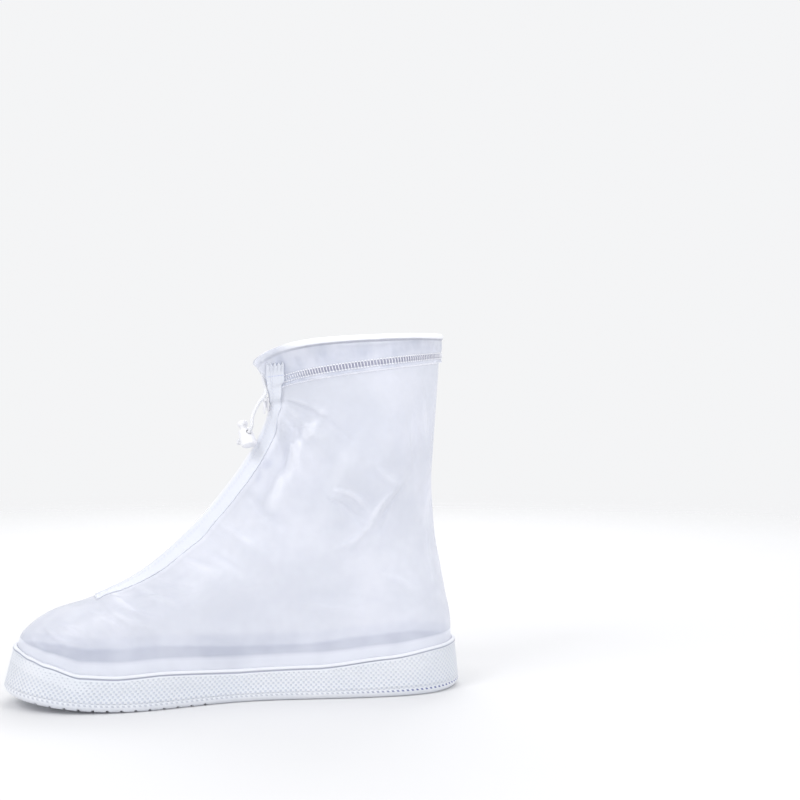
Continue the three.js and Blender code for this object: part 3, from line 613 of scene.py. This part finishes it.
def tray_point(angle, out, at):
    """A place on the tray: level from the film's foot, moved out level from the film."""
    normal = film_normal(0.5, angle)
    normal[..., 2] = 0
    return film_point(at, angle) + out * normal / np.linalg.norm(normal, axis=-1, keepdims=True)


tray, tray_marks = [], []
welded = film_point(0.93, around)
length_round = run_along(welded)
length_round = np.minimum(length_round, length_round[len(half_angles) - 1] * 2 - length_round).clip(0)
for kind, *row in wall_rows:
    if kind == "corner":
        points = tray_point(around, outer_out + corner * (math.sin(row[0]) - 1), 0)
        lift = sole_lift(points[:, 0])
        points[:, 2] = lift + corner * (1 - math.cos(row[0]))
        cut = groove_at(film_point(0, around)[:, 0],
                        (np.abs(points[:, 0] - forefoot_middle) < forefoot_half).astype(float))
        points[:, 2] = np.maximum(points[:, 2], lift + cut * groove_deep)
    else:
        points = tray_point(around, *row)
    if kind == "floor":
        points[:, 2] = sole_lift(points[:, 0]) + sole_floor
    tray.append(points)
    tray_marks.append(columns_of(length_round, points[:, 2] - sole_lift(points[:, 0]),
                                 brim_height(points[:, 0]) - points[:, 2]))
count = len(around)
half_count = len(half_angles)
tray = np.array(tray)
tray_marks = np.array(tray_marks)
tray_faces = [tuple(f) for f in grid_faces(len(tray), count, closed=True)]
vertices = list(tray.reshape(-1, 3))
marks = list(tray_marks.reshape(-1, 3))
across = 12
for inside, ring, first in ((False, tray[0], 0), (True, tray[-1], (len(tray) - 1) * count)):
    rows = []
    for i in range(half_count):
        left, right = ring[i], ring[(count - i) % count]
        row = [first + i]
        for k in range(1, across):
            point = left + (right - left) * (0.5 - 0.5 * math.cos(math.pi * k / across))
            if not inside:
                s0 = film_point(0.0, half_angles[i])[0]
                grooved = s0 <= heel_treads or abs(point[1] - (left + right)[1] / 2) < heel_tread_half
                cut = float(groove_at(np.array(s0), float(grooved)))
                point[2] = float(sole_lift(point[0])) + cut * groove_deep
            row.append(len(vertices))
            vertices.append(point)
            marks.append(np.array([0, -9, 99]))
        rows.append([*row, first + (count - i) % count])
    for low, high in zip(rows, rows[1:]):
        for k in range(across):
            quad = tuple(dict.fromkeys((low[k], low[k + 1], high[k + 1], high[k])))
            if len(quad) > 2:
                tray_faces.append(quad[::-1] if inside else quad)


lattice_pitch, groove_under, welt_up = 3.1, 1.75, 3.9


def sole_look():
    run, up, under = attribute("wall", "x"), attribute("wall", "y"), attribute("wall", "z")
    turn = 2 * math.pi / lattice_pitch
    lattice = (run * turn).cosine() * (up * turn).cosine()
    pits, dots = lattice.step(-0.05, 0.55), lattice.step(0.5, 0.85)
    zone = up.step(4.6, 5.2) * under.step(2.8, 3.6)
    sparse = (1 - under.step(9.2, 10.0)) * attribute("ends", "x")
    heel = attribute("ends", "y")
    pattern = zone * (pits * (1 - sparse) + dots * sparse)
    # A dark line in the groove under the brim: painted shade in the groove.
    groove = under.band(groove_under, 0.2, 0.6) * up.step(6, 8)
    lip = 1 - under.step(0.4, 1.2)
    welt = up.band(welt_up, 0.3, 0.8) * up.step(1, 2)
    dashes = welt * (run * turn + up * 1.2).cosine().step(-0.3, 0.6)
    grain = noise(900, 3, 0.6)
    clouds = noise(30, 2)
    base = clouds.step(0.3, 0.7).colour((0.83, 0.86, 0.92), (0.88, 0.90, 0.95))
    base = (pattern * (0.58 - up.step(7, 19) * 0.26)).colour(base, (0.54, 0.59, 0.73))
    base = (groove * 0.8).colour(base, (0.30, 0.32, 0.43))
    base = lip.colour(base, (0.87, 0.885, 0.94))
    base = (dashes * (0.45 + heel * 0.5)).colour(base, heel.colour((0.34, 0.37, 0.50), (0.10, 0.13, 0.36)))
    return {"Base Color": base, "Roughness": 0.36 + grain * 0.14 + pattern * 0.1,
            "height": (grain * 0.12 - pattern * 1.0 - groove * 0.4 - dashes * 0.6, 0.0006, 0.8),
            "Alpha": 0.82, "Specular IOR Level": 0.5}


sole_material = finish("milky_vinyl", sole_look)
vertices = np.array(vertices)
end_marks = columns_of(1 - smooth_step(vertices[:, 0], 40, 64), smooth_step(vertices[:, 0], 195, 262), 0.0)
sole = mesh_piece("tray_sole", place(vertices), tray_faces, sole_material, wall=np.array(marks),
                  ends=end_marks)
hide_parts("sole")


# Cuff: the film's top edge turned out and down over the drawcord, and overlocked to it in a row of
# open white stitches. Its front ends are cut off square, so they stand as two loose corners.
cuff_front = 0.3


def cuff_height(angle):
    """From the hem's level up to the rim, in millimetres."""
    return np.linalg.norm(film_point(10, angle) - film_point(9, angle), axis=-1)


def cuff_point(angle, out, down, share=0.0):
    """A place on the cuff: down from the rim in millimetres and a share of the cuff's height."""
    return skin(10 - down / cuff_height(angle) - share, angle, out)


# Rows from the outer leaf's edge over the rim and down inside: millimetres out from the film and
# down, share of the cuff's height down, and how far the row's ends are drawn back.
cuff_section = [(out, 0, share, 0) for out, share in (
    (1.15, 0.875), (1.55, 0.865), (1.75, 0.845), (1.6, 0.81), (1.35, 0.77), (1.5, 0.735), (1.5, 0.69),
    (1.5, 0.645), (1.35, 0.61), (1.55, 0.55), (1.65, 0.45))]
cuff_section += [(out, down, 0, back) for out, down, back in (
    (1.6, 9, 0), (1.6, 7, 0), (1.7, 5.8, 0), (1.6, 4.9, 0), (1.95, 4.2, 0), (2.45, 3.3, 0), (2.65, 2.3, 0),
    (2.45, 1.3, 0), (1.8, 0.5, 0.1), (0.9, 0.1, 0.2), (-0.5, 0.1, 0.5), (-1.9, 0.6, 0.8), (-3.1, 1.8, 1),
    (-3.6, 3.8, 1), (-3.4, 6, 1), (-2.7, 9, 1), (-1.9, 10.6, 1), (-1.2, 12, 1))]
cuff_columns = 620
cuff_angles = np.linspace(cuff_front, 2 * np.pi - cuff_front, cuff_columns)
from_end = np.minimum(cuff_angles - cuff_front, 2 * np.pi - cuff_front - cuff_angles)
side_sign = np.where(cuff_angles < np.pi, 1, -1)
ruffle = (0.22 * np.sin(cuff_angles * 41) + 0.16 * np.sin(cuff_angles * 67 + 1.1)
          + 0.25 * np.sin(cuff_angles * 23 + 2))
tall = cuff_height(cuff_angles)
cuff_rows, cuff_marks = [], []
for out, down, share, back in cuff_section:
    pull = np.maximum(0, 1 - from_end / 0.5) * 0.3 * back * side_sign
    low = share + down / tall
    loose = smooth_step(low, 0.78, 0.87) * 0.8 + np.maximum(
        smooth_step(low, 0.2, 0.4) - 0.6 * smooth_step(low, 0.45, 0.6), 0.1)
    wobble = ruffle * loose * (1 if out > 0 else 0.4) * smooth_step(from_end, 0, 0.2)
    if out < 1.5:
        wobble = np.maximum(wobble, -0.15)
    cuff_rows.append(cuff_point(cuff_angles + pull, out + wobble, down, share))
    cuff_marks.append(low)
cuff_rows, cuff_marks = np.array(cuff_rows), np.array(cuff_marks)
cuff_run = run_along(cuff_rows[0])
from_edge = np.minimum(cuff_run, cuff_run[-1] - cuff_run)
leaf_data = columns_of(smooth_step(from_edge, 14, 40), cuff_marks, cuff_marks * tall)


slot_middle, slot_reach = 0.69, 0.062
edge_from, edge_to = 0.845, 0.86


def hem_look():
    stitched, low, down = attribute("film", "x"), attribute("film", "y"), attribute("film", "z")
    clouds, drawn, grain = noise(45, 3), noise(110, 3, 0.6), noise(1500, 3, 0.7)
    milky = clouds.step(0.35, 0.7)
    sewn = 0.2 + stitched * 0.8
    rim = (1 - down.step(3.0, 3.6)) * sewn
    # A dark band just below the corded rim: painted shadow under the rim.
    painted_shadow_under_rim = down.band(4.4, 0.2, 0.8) * sewn
    # The slots between the overlock stitches are coloured dark grey-lilac: painted shade in the openings.
    slots = low.band(slot_middle, slot_reach * 0.75, slot_reach) * stitched
    edge = low.step(edge_from, edge_to)
    base = milky.colour((0.64, 0.67, 0.77), (0.77, 0.79, 0.87))
    base = rim.colour(base, (0.90, 0.91, 0.95))
    base = (painted_shadow_under_rim * 0.6).colour(base, (0.36, 0.37, 0.48))
    base = (slots * 0.85).colour(base, (0.30, 0.30, 0.41))
    base = edge.colour(base, (0.88, 0.89, 0.94))
    return {"Base Color": base, "Roughness": 0.3 + grain * 0.14 + drawn * 0.06,
            "Alpha": (0.54 + milky * 0.1 + rim * 0.42 + slots * 0.25 + edge * 0.3).least(0.98),
            "height": (grain * 0.35 + drawn * 1.2 + clouds * 2.2, 0.0004, 0.5), "Specular IOR Level": 0.6}


hem_material = finish("hem_vinyl", hem_look)
cuff = mesh_piece("cuff_hem", place(cuff_rows).reshape(-1, 3), grid_faces(*cuff_rows.shape[:2], flip=True),
                  hem_material, film=leaf_data.reshape(-1, 3))
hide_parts("cuff")

stitch_pitch, thread_radius, row_end = 2.0, 0.33, 15


def thread_look():
    twist = noise(2400, 2)
    return {"Base Color": twist.step(0.3, 0.7).colour((0.82, 0.825, 0.87), (0.93, 0.935, 0.965)),
            "Roughness": 0.7, "Sheen Weight": 0.2, "height": (twist, 0.0001, 0.5)}


thread = finish("white_thread", thread_look)


def bars(name, lines, radius, material, sides=6):
    """Short rounded threads along polylines in millimetres, as one mesh."""
    vertices, faces = [], []
    turn = (2 * np.pi * np.arange(sides) / sides)[None, :, None]
    for line in lines:
        line = np.asarray(line, float)
        side_a, side_b = frames_along(line)
        radii = np.full((len(line), 1, 1), radius)
        radii[[0, -1]] *= 0.55
        rings = line[:, None] + radii * (np.cos(turn) * side_a[:, None] + np.sin(turn) * side_b[:, None])
        faces += [[len(vertices) + v for v in face] for face in rod_faces(len(line), sides)]
        vertices += rings.reshape(-1, 3).tolist()
    return mesh_piece(name, place(vertices), faces, material)


row_angles = np.linspace(cuff_front, 2 * np.pi - cuff_front, 4000)
row_line = cuff_point(row_angles, 1.7, 0, slot_middle)
row_run = run_along(row_line)
stitch_lines = []
for at in np.arange(row_end, row_run[-1] - row_end, stitch_pitch):
    angle = np.full(3, np.interp(at, row_run, row_angles))
    reach = slot_reach * smooth_step(min(at, row_run[-1] - at), 13, 36) + 0.012
    stitch_lines.append(np.stack([cuff_point(angle[:1], out, 0, slot_middle + place_at * reach)[0]
                                  for out, place_at in ((1.75, -1), (2.1, 0), (1.75, 1))]))
edge_step = row_angles[::8]
for share in (slot_middle - slot_reach - 0.01, slot_middle + slot_reach + 0.01):
    lock_line = evenly(cuff_point(edge_step, 1.8, 0, share), 0.5)
    for i in range(24, len(lock_line) - 24, 4):
        stitch_lines.append(lock_line[i:i + 4])
ladder = bars("overlock_stitches", stitch_lines, thread_radius, thread)

rim_cord_from, rim_cord_out, rim_cord_down, rim_cord_radius = 0.66, -0.6, 4, 0.00118
rim_angles = np.linspace(rim_cord_from, 2 * np.pi - rim_cord_from, 500)
rim_line = place(cuff_point(rim_angles, rim_cord_out, rim_cord_down))
rim_cord = tube("drawcord_rim_braid", evenly(rim_line, 0.0009), rim_cord_radius, braid, sides=14)
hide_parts("drawcord_rim")


# Zip: two woven tapes stitched over the film's cut edges, their tops pinked, with a closed nylon
# coil between them and a small slider with its pull tab at the top.
zip_top, slider_z = 189, 184.5
zip_line_top = [[166, 191], [164.4, 195], [163.4, 200], [162.7, 206], [162.4, 212]]
ridge_fine = film_point(np.linspace(4, 9, 400), 0.0)[:, [0, 2]]
zip_line = np.array([*ridge_fine[ridge_fine[:, 1] < zip_top - 2][::8], *zip_line_top])
zip_dense = centripetal(np.stack([zip_line[:, 0], np.zeros(len(zip_line)), zip_line[:, 1]], axis=1), 12)
zip_run = run_along(zip_dense)


def zip_at(distance):
    """Places and directions of the zip line in the side view, at distances along it."""
    distance = np.atleast_1d(np.asarray(distance, float))
    behind, centre, ahead = (
        np.stack([np.interp(distance + step, zip_run, zip_dense[:, i]) for i in (0, 2)], axis=-1)
        for step in (-1.0, 0.0, 1.0))
    return centre, (ahead - behind) / np.linalg.norm(ahead - behind, axis=-1, keepdims=True)


def on_side(s, z, sign):
    """Level and angle of the film at places of the side view, found by halving."""
    low, high = np.zeros(s.shape), np.full(s.shape, 10.0)
    for _ in range(13):
        at = (low + high) / 2
        first, last = np.zeros(s.shape), np.full(s.shape, np.pi)
        for _ in range(13):
            angle = (first + last) / 2
            real = angle if sign < 0 else 2 * np.pi - angle
            ahead = film_point(at, real)[..., 0] < s
            first, last = np.where(ahead, angle, first), np.where(ahead, last, angle)
        below = film_point(at, real)[..., 2] < z
        low, high = np.where(below, at, low), np.where(below, high, at)
    return at, real


def tape_width(z):
    """Visible reach of a tape from the zip line: narrow at the slider, wide over the cuff."""
    return (tape_low + (tape_waist - tape_low) * smooth_step(z, 150, 182)
            + (tape_high - tape_waist) * smooth_step(z, 188, 199))


def tape_grid(sign, stations, offsets):
    """Film places under the tape: rows along the zip, columns at set distances from the zip line."""
    centre, tangent = zip_at(stations)
    inward = np.stack([tangent[:, 1], -tangent[:, 0]], axis=1)
    spots = centre[:, None] + inward[:, None] * np.linspace(0, 24, 25)[None, :, None]
    at, angle = on_side(spots[..., 0], spots[..., 1], sign)
    points = film_point(at, angle)
    run = np.concatenate([np.zeros((len(stations), 1)),
                          np.cumsum(np.linalg.norm(np.diff(points, axis=1), axis=2), axis=1)], axis=1)
    reach = [tape_from + (offsets - tape_from) * (tape_width(z_at) - tape_from) / (tape_to - tape_from)
             for z_at in centre[:, 1]]
    at, angle = (np.array([np.interp(*v) for v in zip(reach, run, values)]) for values in (at, angle))
    return at, angle, centre


rib_pitch, pick_pitch = 0.7, 0.55


def weave_look():
    across, along = attribute("weave", "x"), attribute("weave", "y")
    ribs = (across * (2 * math.pi / rib_pitch)).sine()
    over = ribs * (along * (2 * math.pi / pick_pitch)).sine()
    selvedge = across.band(5.6, 0.15, 0.5).most(across.band(4.2, 0.15, 0.5))
    base = over.step(-0.7, 0.7).colour((0.77, 0.80, 0.89), (0.87, 0.895, 0.965))
    base = (selvedge * 0.35).colour(base, (0.60, 0.64, 0.78))
    return {"Base Color": base, "Roughness": 0.74, "Sheen Weight": 0.2,
            "height": (over * 0.6 + ribs * 0.25 + noise(1800) * 0.4 - selvedge * 0.8, 0.00016, 0.8)}


weave = finish("woven_tape", weave_look)
blue_thread = finish("blue_thread", lambda: {
    "Base Color": noise(900).step(0.3, 0.7).colour((0.36, 0.46, 0.82), (0.50, 0.60, 0.90)),
    "Roughness": 0.7})
tape_gap, tape_over_cuff, tape_thick = 0.25, 2.2, 0.35
seam_offsets, tack_z, pink_deep, pink_pitch = (4.2, 5.6, 12.6), 203, 2.6, 3.1
tape_from, tape_to = 0.95, 15.0
tape_low, tape_waist, tape_high = 11.6, 9.4, 14.8
coil_end = float(np.interp(slider_z, zip_dense[:, 2], zip_run))
tape_end = zip_run[-1] * 0.998
for name, sign in (("inner", -1), ("outer", 1)):
    stations = np.linspace(zip_run[-1] * 0.02, tape_end, 150)
    offsets = np.linspace(tape_from, tape_to, 37)
    at, angle, centre = tape_grid(sign, stations, offsets)
    lift = tape_gap + smooth_step(centre[:, 1], zip_top - 6, zip_top) * (tape_over_cuff - tape_gap)
    lift = np.broadcast_to(lift[:, None], at.shape)
    pinked = pink_deep * np.abs(((offsets / pink_pitch) % 1) - 0.5) * 2
    sheets = np.stack([skin(at, angle, lift + tape_thick, fine=False), skin(at, angle, lift, fine=False)])
    sheets[..., 2] -= smooth_step(stations, tape_end - 8, tape_end)[:, None] * pinked
    rows, cols = at.shape
    marks = columns_of(offsets, stations[:, None], 0.0).reshape(-1, 3)
    faces = [*grid_faces(rows, cols, flip=sign > 0).tolist(),
             *(grid_faces(rows, cols, flip=sign < 0) + rows * cols).tolist()]
    edge = [*range(cols), *[(i + 1) * cols - 1 for i in range(1, rows)],
            *range(rows * cols - 2, (rows - 1) * cols - 1, -1), *[i * cols for i in range(rows - 2, 0, -1)]]
    for a, b in zip(edge, [*edge[1:], edge[0]]):
        quad = (a, b, b + rows * cols, a + rows * cols)
        faces.append(quad[::-1] if sign < 0 else quad)
    piece = mesh_piece(f"zip_tape_{name}_woven", place(sheets.reshape(-1, 3)), faces, weave,
                       weave=np.concatenate([marks, marks]))
    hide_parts(f"zip_tape_{name}")
    seam_lines = []
    for offset in seam_offsets:
        column = np.argmin(np.abs(offsets - offset))
        line = evenly(skin(at[:, column], angle[:, column], lift[:, column] + 0.42, fine=False), 0.5)
        seam_lines += [line[i:i + 4] for i in range(2, len(line) - 6, 5)]
    seams = bars(f"tape_seams_{name}", seam_lines, 0.16, thread, sides=5)
    row = np.argmin(np.abs(centre[:, 1] - tack_z))
    tack = skin(at[row], angle[row], lift[row] + 0.4, fine=False)
    tacks = bars(f"tape_tacks_{name}", [tack[i:i + 2] for i in range(3, len(tack) - 1, 3)], 0.3,
                 blue_thread, sides=5)


def coil_look():
    grain = noise(700)
    return {"Base Color": (0.86, 0.865, 0.91), "Roughness": 0.36 + grain * 0.1, "Specular IOR Level": 0.5,
            "height": (grain, 0.00005, 0.3)}


nylon = finish("white_nylon", coil_look)
coil_in, coil_radius, coil_foot, coil_pitch = 0.5, 1.35, 63, 1.05
coil_from = float(np.interp(coil_foot, zip_dense[:, 0], zip_run))
coil_lines = []
for i, distance in enumerate(np.arange(coil_from, coil_end, coil_pitch)):
    centre, tangent = zip_at(distance)
    (cs, cz), (ts, tz) = centre[0], tangent[0]
    side = 1 if i % 2 else -1
    line = []
    for turn in np.linspace(-0.5, math.pi + 0.5, 9):
        away = coil_in - coil_radius * math.sin(turn)
        line.append((cs + tz * away, side * (-coil_radius * math.cos(turn) * 1.1), cz - ts * away))
    coil_lines.append(line)
teeth = bars("zip_coil_teeth", coil_lines, 0.42, nylon, sides=7)
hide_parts("zip_coil")

plastic = finish("white_plastic", lambda: {
    "Base Color": noise(40).step(0.3, 0.7).colour((0.80, 0.80, 0.83), (0.87, 0.87, 0.89)),
    "Roughness": 0.3 + noise(500) * 0.12, "Coat Weight": 0.15, "height": (noise(900), 0.00004, 0.3)})


def rough_solid(build):
    """An object in millimetres, of what build adds to an empty mesh."""
    mesh = bmesh.new()
    build(mesh)
    bmesh.ops.recalc_face_normals(mesh, faces=mesh.faces)
    data = bpy.data.meshes.new("rough")
    mesh.to_mesh(data)
    mesh.free()
    made = bpy.data.objects.new("rough", data)
    scene.collection.objects.link(made)
    return made


def moulded_piece(name, build, matrix, node, body, bevel, sharp, cut=None):
    """A moulded piece: built in millimetres, cut, rounded at edges above sharp degrees, and placed."""
    made = rough_solid(build)
    made.name = name
    if cut:
        tool = rough_solid(cut)
        hole = made.modifiers.new("hole", "BOOLEAN")
        hole.object = tool
        hole.solver = "EXACT"
    rounding = made.modifiers.new("rounding", "BEVEL")
    rounding.width = bevel
    rounding.segments = 2
    rounding.limit_method = "ANGLE"
    rounding.angle_limit = math.radians(sharp)
    bpy.context.view_layer.update()
    shaped = bpy.data.meshes.new_from_object(made.evaluated_get(bpy.context.evaluated_depsgraph_get()))
    made.modifiers.clear()
    made.data = shaped
    if cut:
        bpy.data.objects.remove(tool)
    shaped.name = name
    shaped.transform(matrix @ Matrix.Scale(0.001, 4))
    shaped.materials.clear()
    shaped.materials.append(plastic)
    shaped.shade_smooth()
    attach(made, body)
    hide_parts(node)
    return made


def basis(x, y, z, where):
    """The placing whose axes are x, y and z and whose origin is where."""
    return Matrix([*zip(x, y, z, where), (0, 0, 0, 1)])


zip_centre, zip_tangent = zip_at(coil_end)
(zs, zz), (us, uz) = zip_centre[0], zip_tangent[0]
zip_matrix = basis((uz, 0, -us), (0, 1, 0), (us, 0, uz), place([zs, 0, zz]))


def prism(mesh, outline, low, high, axis=0):
    """An outline extruded along an axis."""
    rings = [[mesh.verts.new((*corner[:axis], at, *corner[axis:])) for corner in outline]
             for at in (low, high)]
    for i in range(len(outline)):
        mesh.faces.new((rings[0][i - 1], rings[0][i], rings[1][i], rings[1][i - 1]))
    mesh.faces.new(rings[0][::-1])
    mesh.faces.new(rings[1])


def block(mesh, low, high):
    """A box between two corners."""
    (x0, y0, z0), (x1, y1, z1) = low, high
    prism(mesh, [(y0, z0), (y1, z0), (y1, z1), (y0, z1)], x0, x1)


def circle(radius, sides, x=0.0, y=0.0):
    turns = (2 * math.pi * k / sides for k in range(sides))
    return [(x + radius * math.cos(t), y + radius * math.sin(t)) for t in turns]


bail = (-4.4, 2.5)


def slider_build(mesh):
    shield = [(-2.1, -4.5), (2.1, -4.5), (2.8, 0), (3.2, 2.6), (3.1, 3.8), (2.1, 4.5), (-2.1, 4.5),
              (-3.1, 3.8), (-3.2, 2.6), (-2.8, 0)]
    prism(mesh, shield, -2.7, -1.6)
    block(mesh, (3.0, -1.5, -4), (3.8, 1.5, 4))
    block(mesh, (-1.8, -0.9, 1.4), (3.2, 0.9, 3.9))
    for side in (-1, 1):
        middle = side * 1.85
        prism(mesh, [(-2.5, 1.5), (-4.5, 1.6), (-4.95, 2.1), (-4.95, 2.9), (-4.5, 3.4), (-2.5, 3.5)],
              middle - 0.45, middle + 0.45, axis=1)
    prism(mesh, circle(0.5, 16, *bail), -1.8, 1.8, axis=1)


moulded_piece("slider_moulded", slider_build, zip_matrix, "zip_slider", "cover", 0.22, 35)


def pull_build(mesh):
    count = 24
    (oa, ia), (ob, ib) = ([[mesh.verts.new((x, y, z)) for x, z in circle(radius, count, *bail)]
                           for radius in (1.4, 0.8)] for y in (-1.1, 1.1))
    for i in range(count):
        k = (i + 1) % count
        for ring in ((oa[i], oa[k], ob[k], ob[i]), (ia[i], ib[i], ib[k], ia[k]),
                     (oa[i], ia[i], ia[k], oa[k]), (ob[i], ob[k], ib[k], ib[i])):
            mesh.faces.new(ring)
    tab = [(-1.1, 1.4), (-1.1, 0.2), (-2.1, -0.9), (-2.1, -5.6), (-1.5, -6.3), (1.5, -6.3),
           (2.1, -5.6), (2.1, -0.9), (1.1, 0.2), (1.1, 1.4)]
    prism(mesh, tab, -5.0, -3.8)
    for z in (-1.9, -2.9, -3.9, -4.9):
        block(mesh, (-5.25, -1.5, z - 0.22), (-4.9, 1.5, z + 0.22))


moulded_piece("pull_tab", pull_build, zip_matrix, "zip_pull", "pull", 0.18, 35)


# Cord locks: an oval moulded barrel open at the top, a sprung plunger with a domed head, and the
# cord pinched between them; below each lock the cord is tied off in a knot with a short tail.
def lathe(mesh, profile, sides):
    """A profile of radius and height turned round, its circles flattened to ovals."""
    rings = [[mesh.verts.new((lock_flat * x, y, z))
              for x, y in (circle(radius, sides) if radius else [(0, 0)])] for radius, z in profile]
    for low, high in zip(rings, rings[1:]):
        for k in range(sides):
            n = (k + 1) % sides
            ring = [low[k % len(low)], low[n % len(low)], high[n % len(high)], high[k % len(high)]]
            ring = list(dict.fromkeys(ring))
            if len(ring) > 2:
                mesh.faces.new(ring)


cross_height, cross_radius, knot_gap, knot_radius = 7.9, 1.7, 0.3, 0.0011
barrel = [(0, 0), (3.9, 0), (4.7, 0.22), (5.15, 0.7), (5.3, 1.5), (5.3, 2.6), (5.2, 4.2), (5.0, 6.4),
          (4.85, 8.4), (4.72, 10.0), (4.6, 10.8), (4.3, 11.25), (3.9, 11.4), (3.35, 11.4), (3.3, 11.1),
          (3.3, 1.1), (0, 1.1)]
plunger = [(0, 4.6), (2.5, 4.6), (2.9, 5.0), (2.9, 11.2), (2.4, 11.8), (2.4, 13.7), (2.7, 14.1),
           (3.2, 14.6), (3.5, 15.4), (3.5, 16.1), (3.3, 16.9), (2.7, 17.5), (1.8, 17.85), (0.9, 17.97),
           (0, 18)]
for side, end in cord_ends.items():
    onward, wide, head = end["axes"]
    where = place(np.array(end["cross"], float) - head * cross_height)
    matrix = basis(onward, wide, head, where)
    through = circle(cross_radius, 28, 0, cross_height)
    slot_box = [(-1.7, 6.3), (1.7, 6.3), (1.7, 11.7), (-1.7, 11.7)]
    barrel_piece = moulded_piece(
        f"lock_barrel_{side}", lambda mesh: lathe(mesh, barrel, 56), matrix, f"cord_lock_{side}", "cover",
        0.16, 40, lambda mesh: prism(mesh, through, -9, 9))
    plunger_piece = moulded_piece(
        f"lock_head_{side}", lambda mesh: lathe(mesh, plunger, 48), matrix, f"lock_plunger_{side}",
        f"plunger_{side}", 0.16, 40, lambda mesh: prism(mesh, slot_box, -9, 9))
    start = np.array(end["cross"], float) + onward * (lock_thin + lead_out + knot_gap)
    knot_line = [start + onward * 0.5]
    for turn in np.linspace(0.15, 2.6 * math.pi, 40):
        knot_line.append(start + onward * (1.5 + 0.24 * turn + 0.35 * math.sin(turn + 0.6))
                         + 1.08 * (math.cos(turn) * wide + math.sin(turn) * head))
    knot_line += [start + onward * 4.1, start + onward * 5.3]
    knot = tube(f"knot_{side}", evenly(place(centripetal(knot_line[::3] + knot_line[-2:], 8)), 0.00035),
                knot_radius, braid, sides=14)
    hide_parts(f"cord_knot_{side}")
    end["line"][::4].tolist() + [end["line"][-1].tolist()]
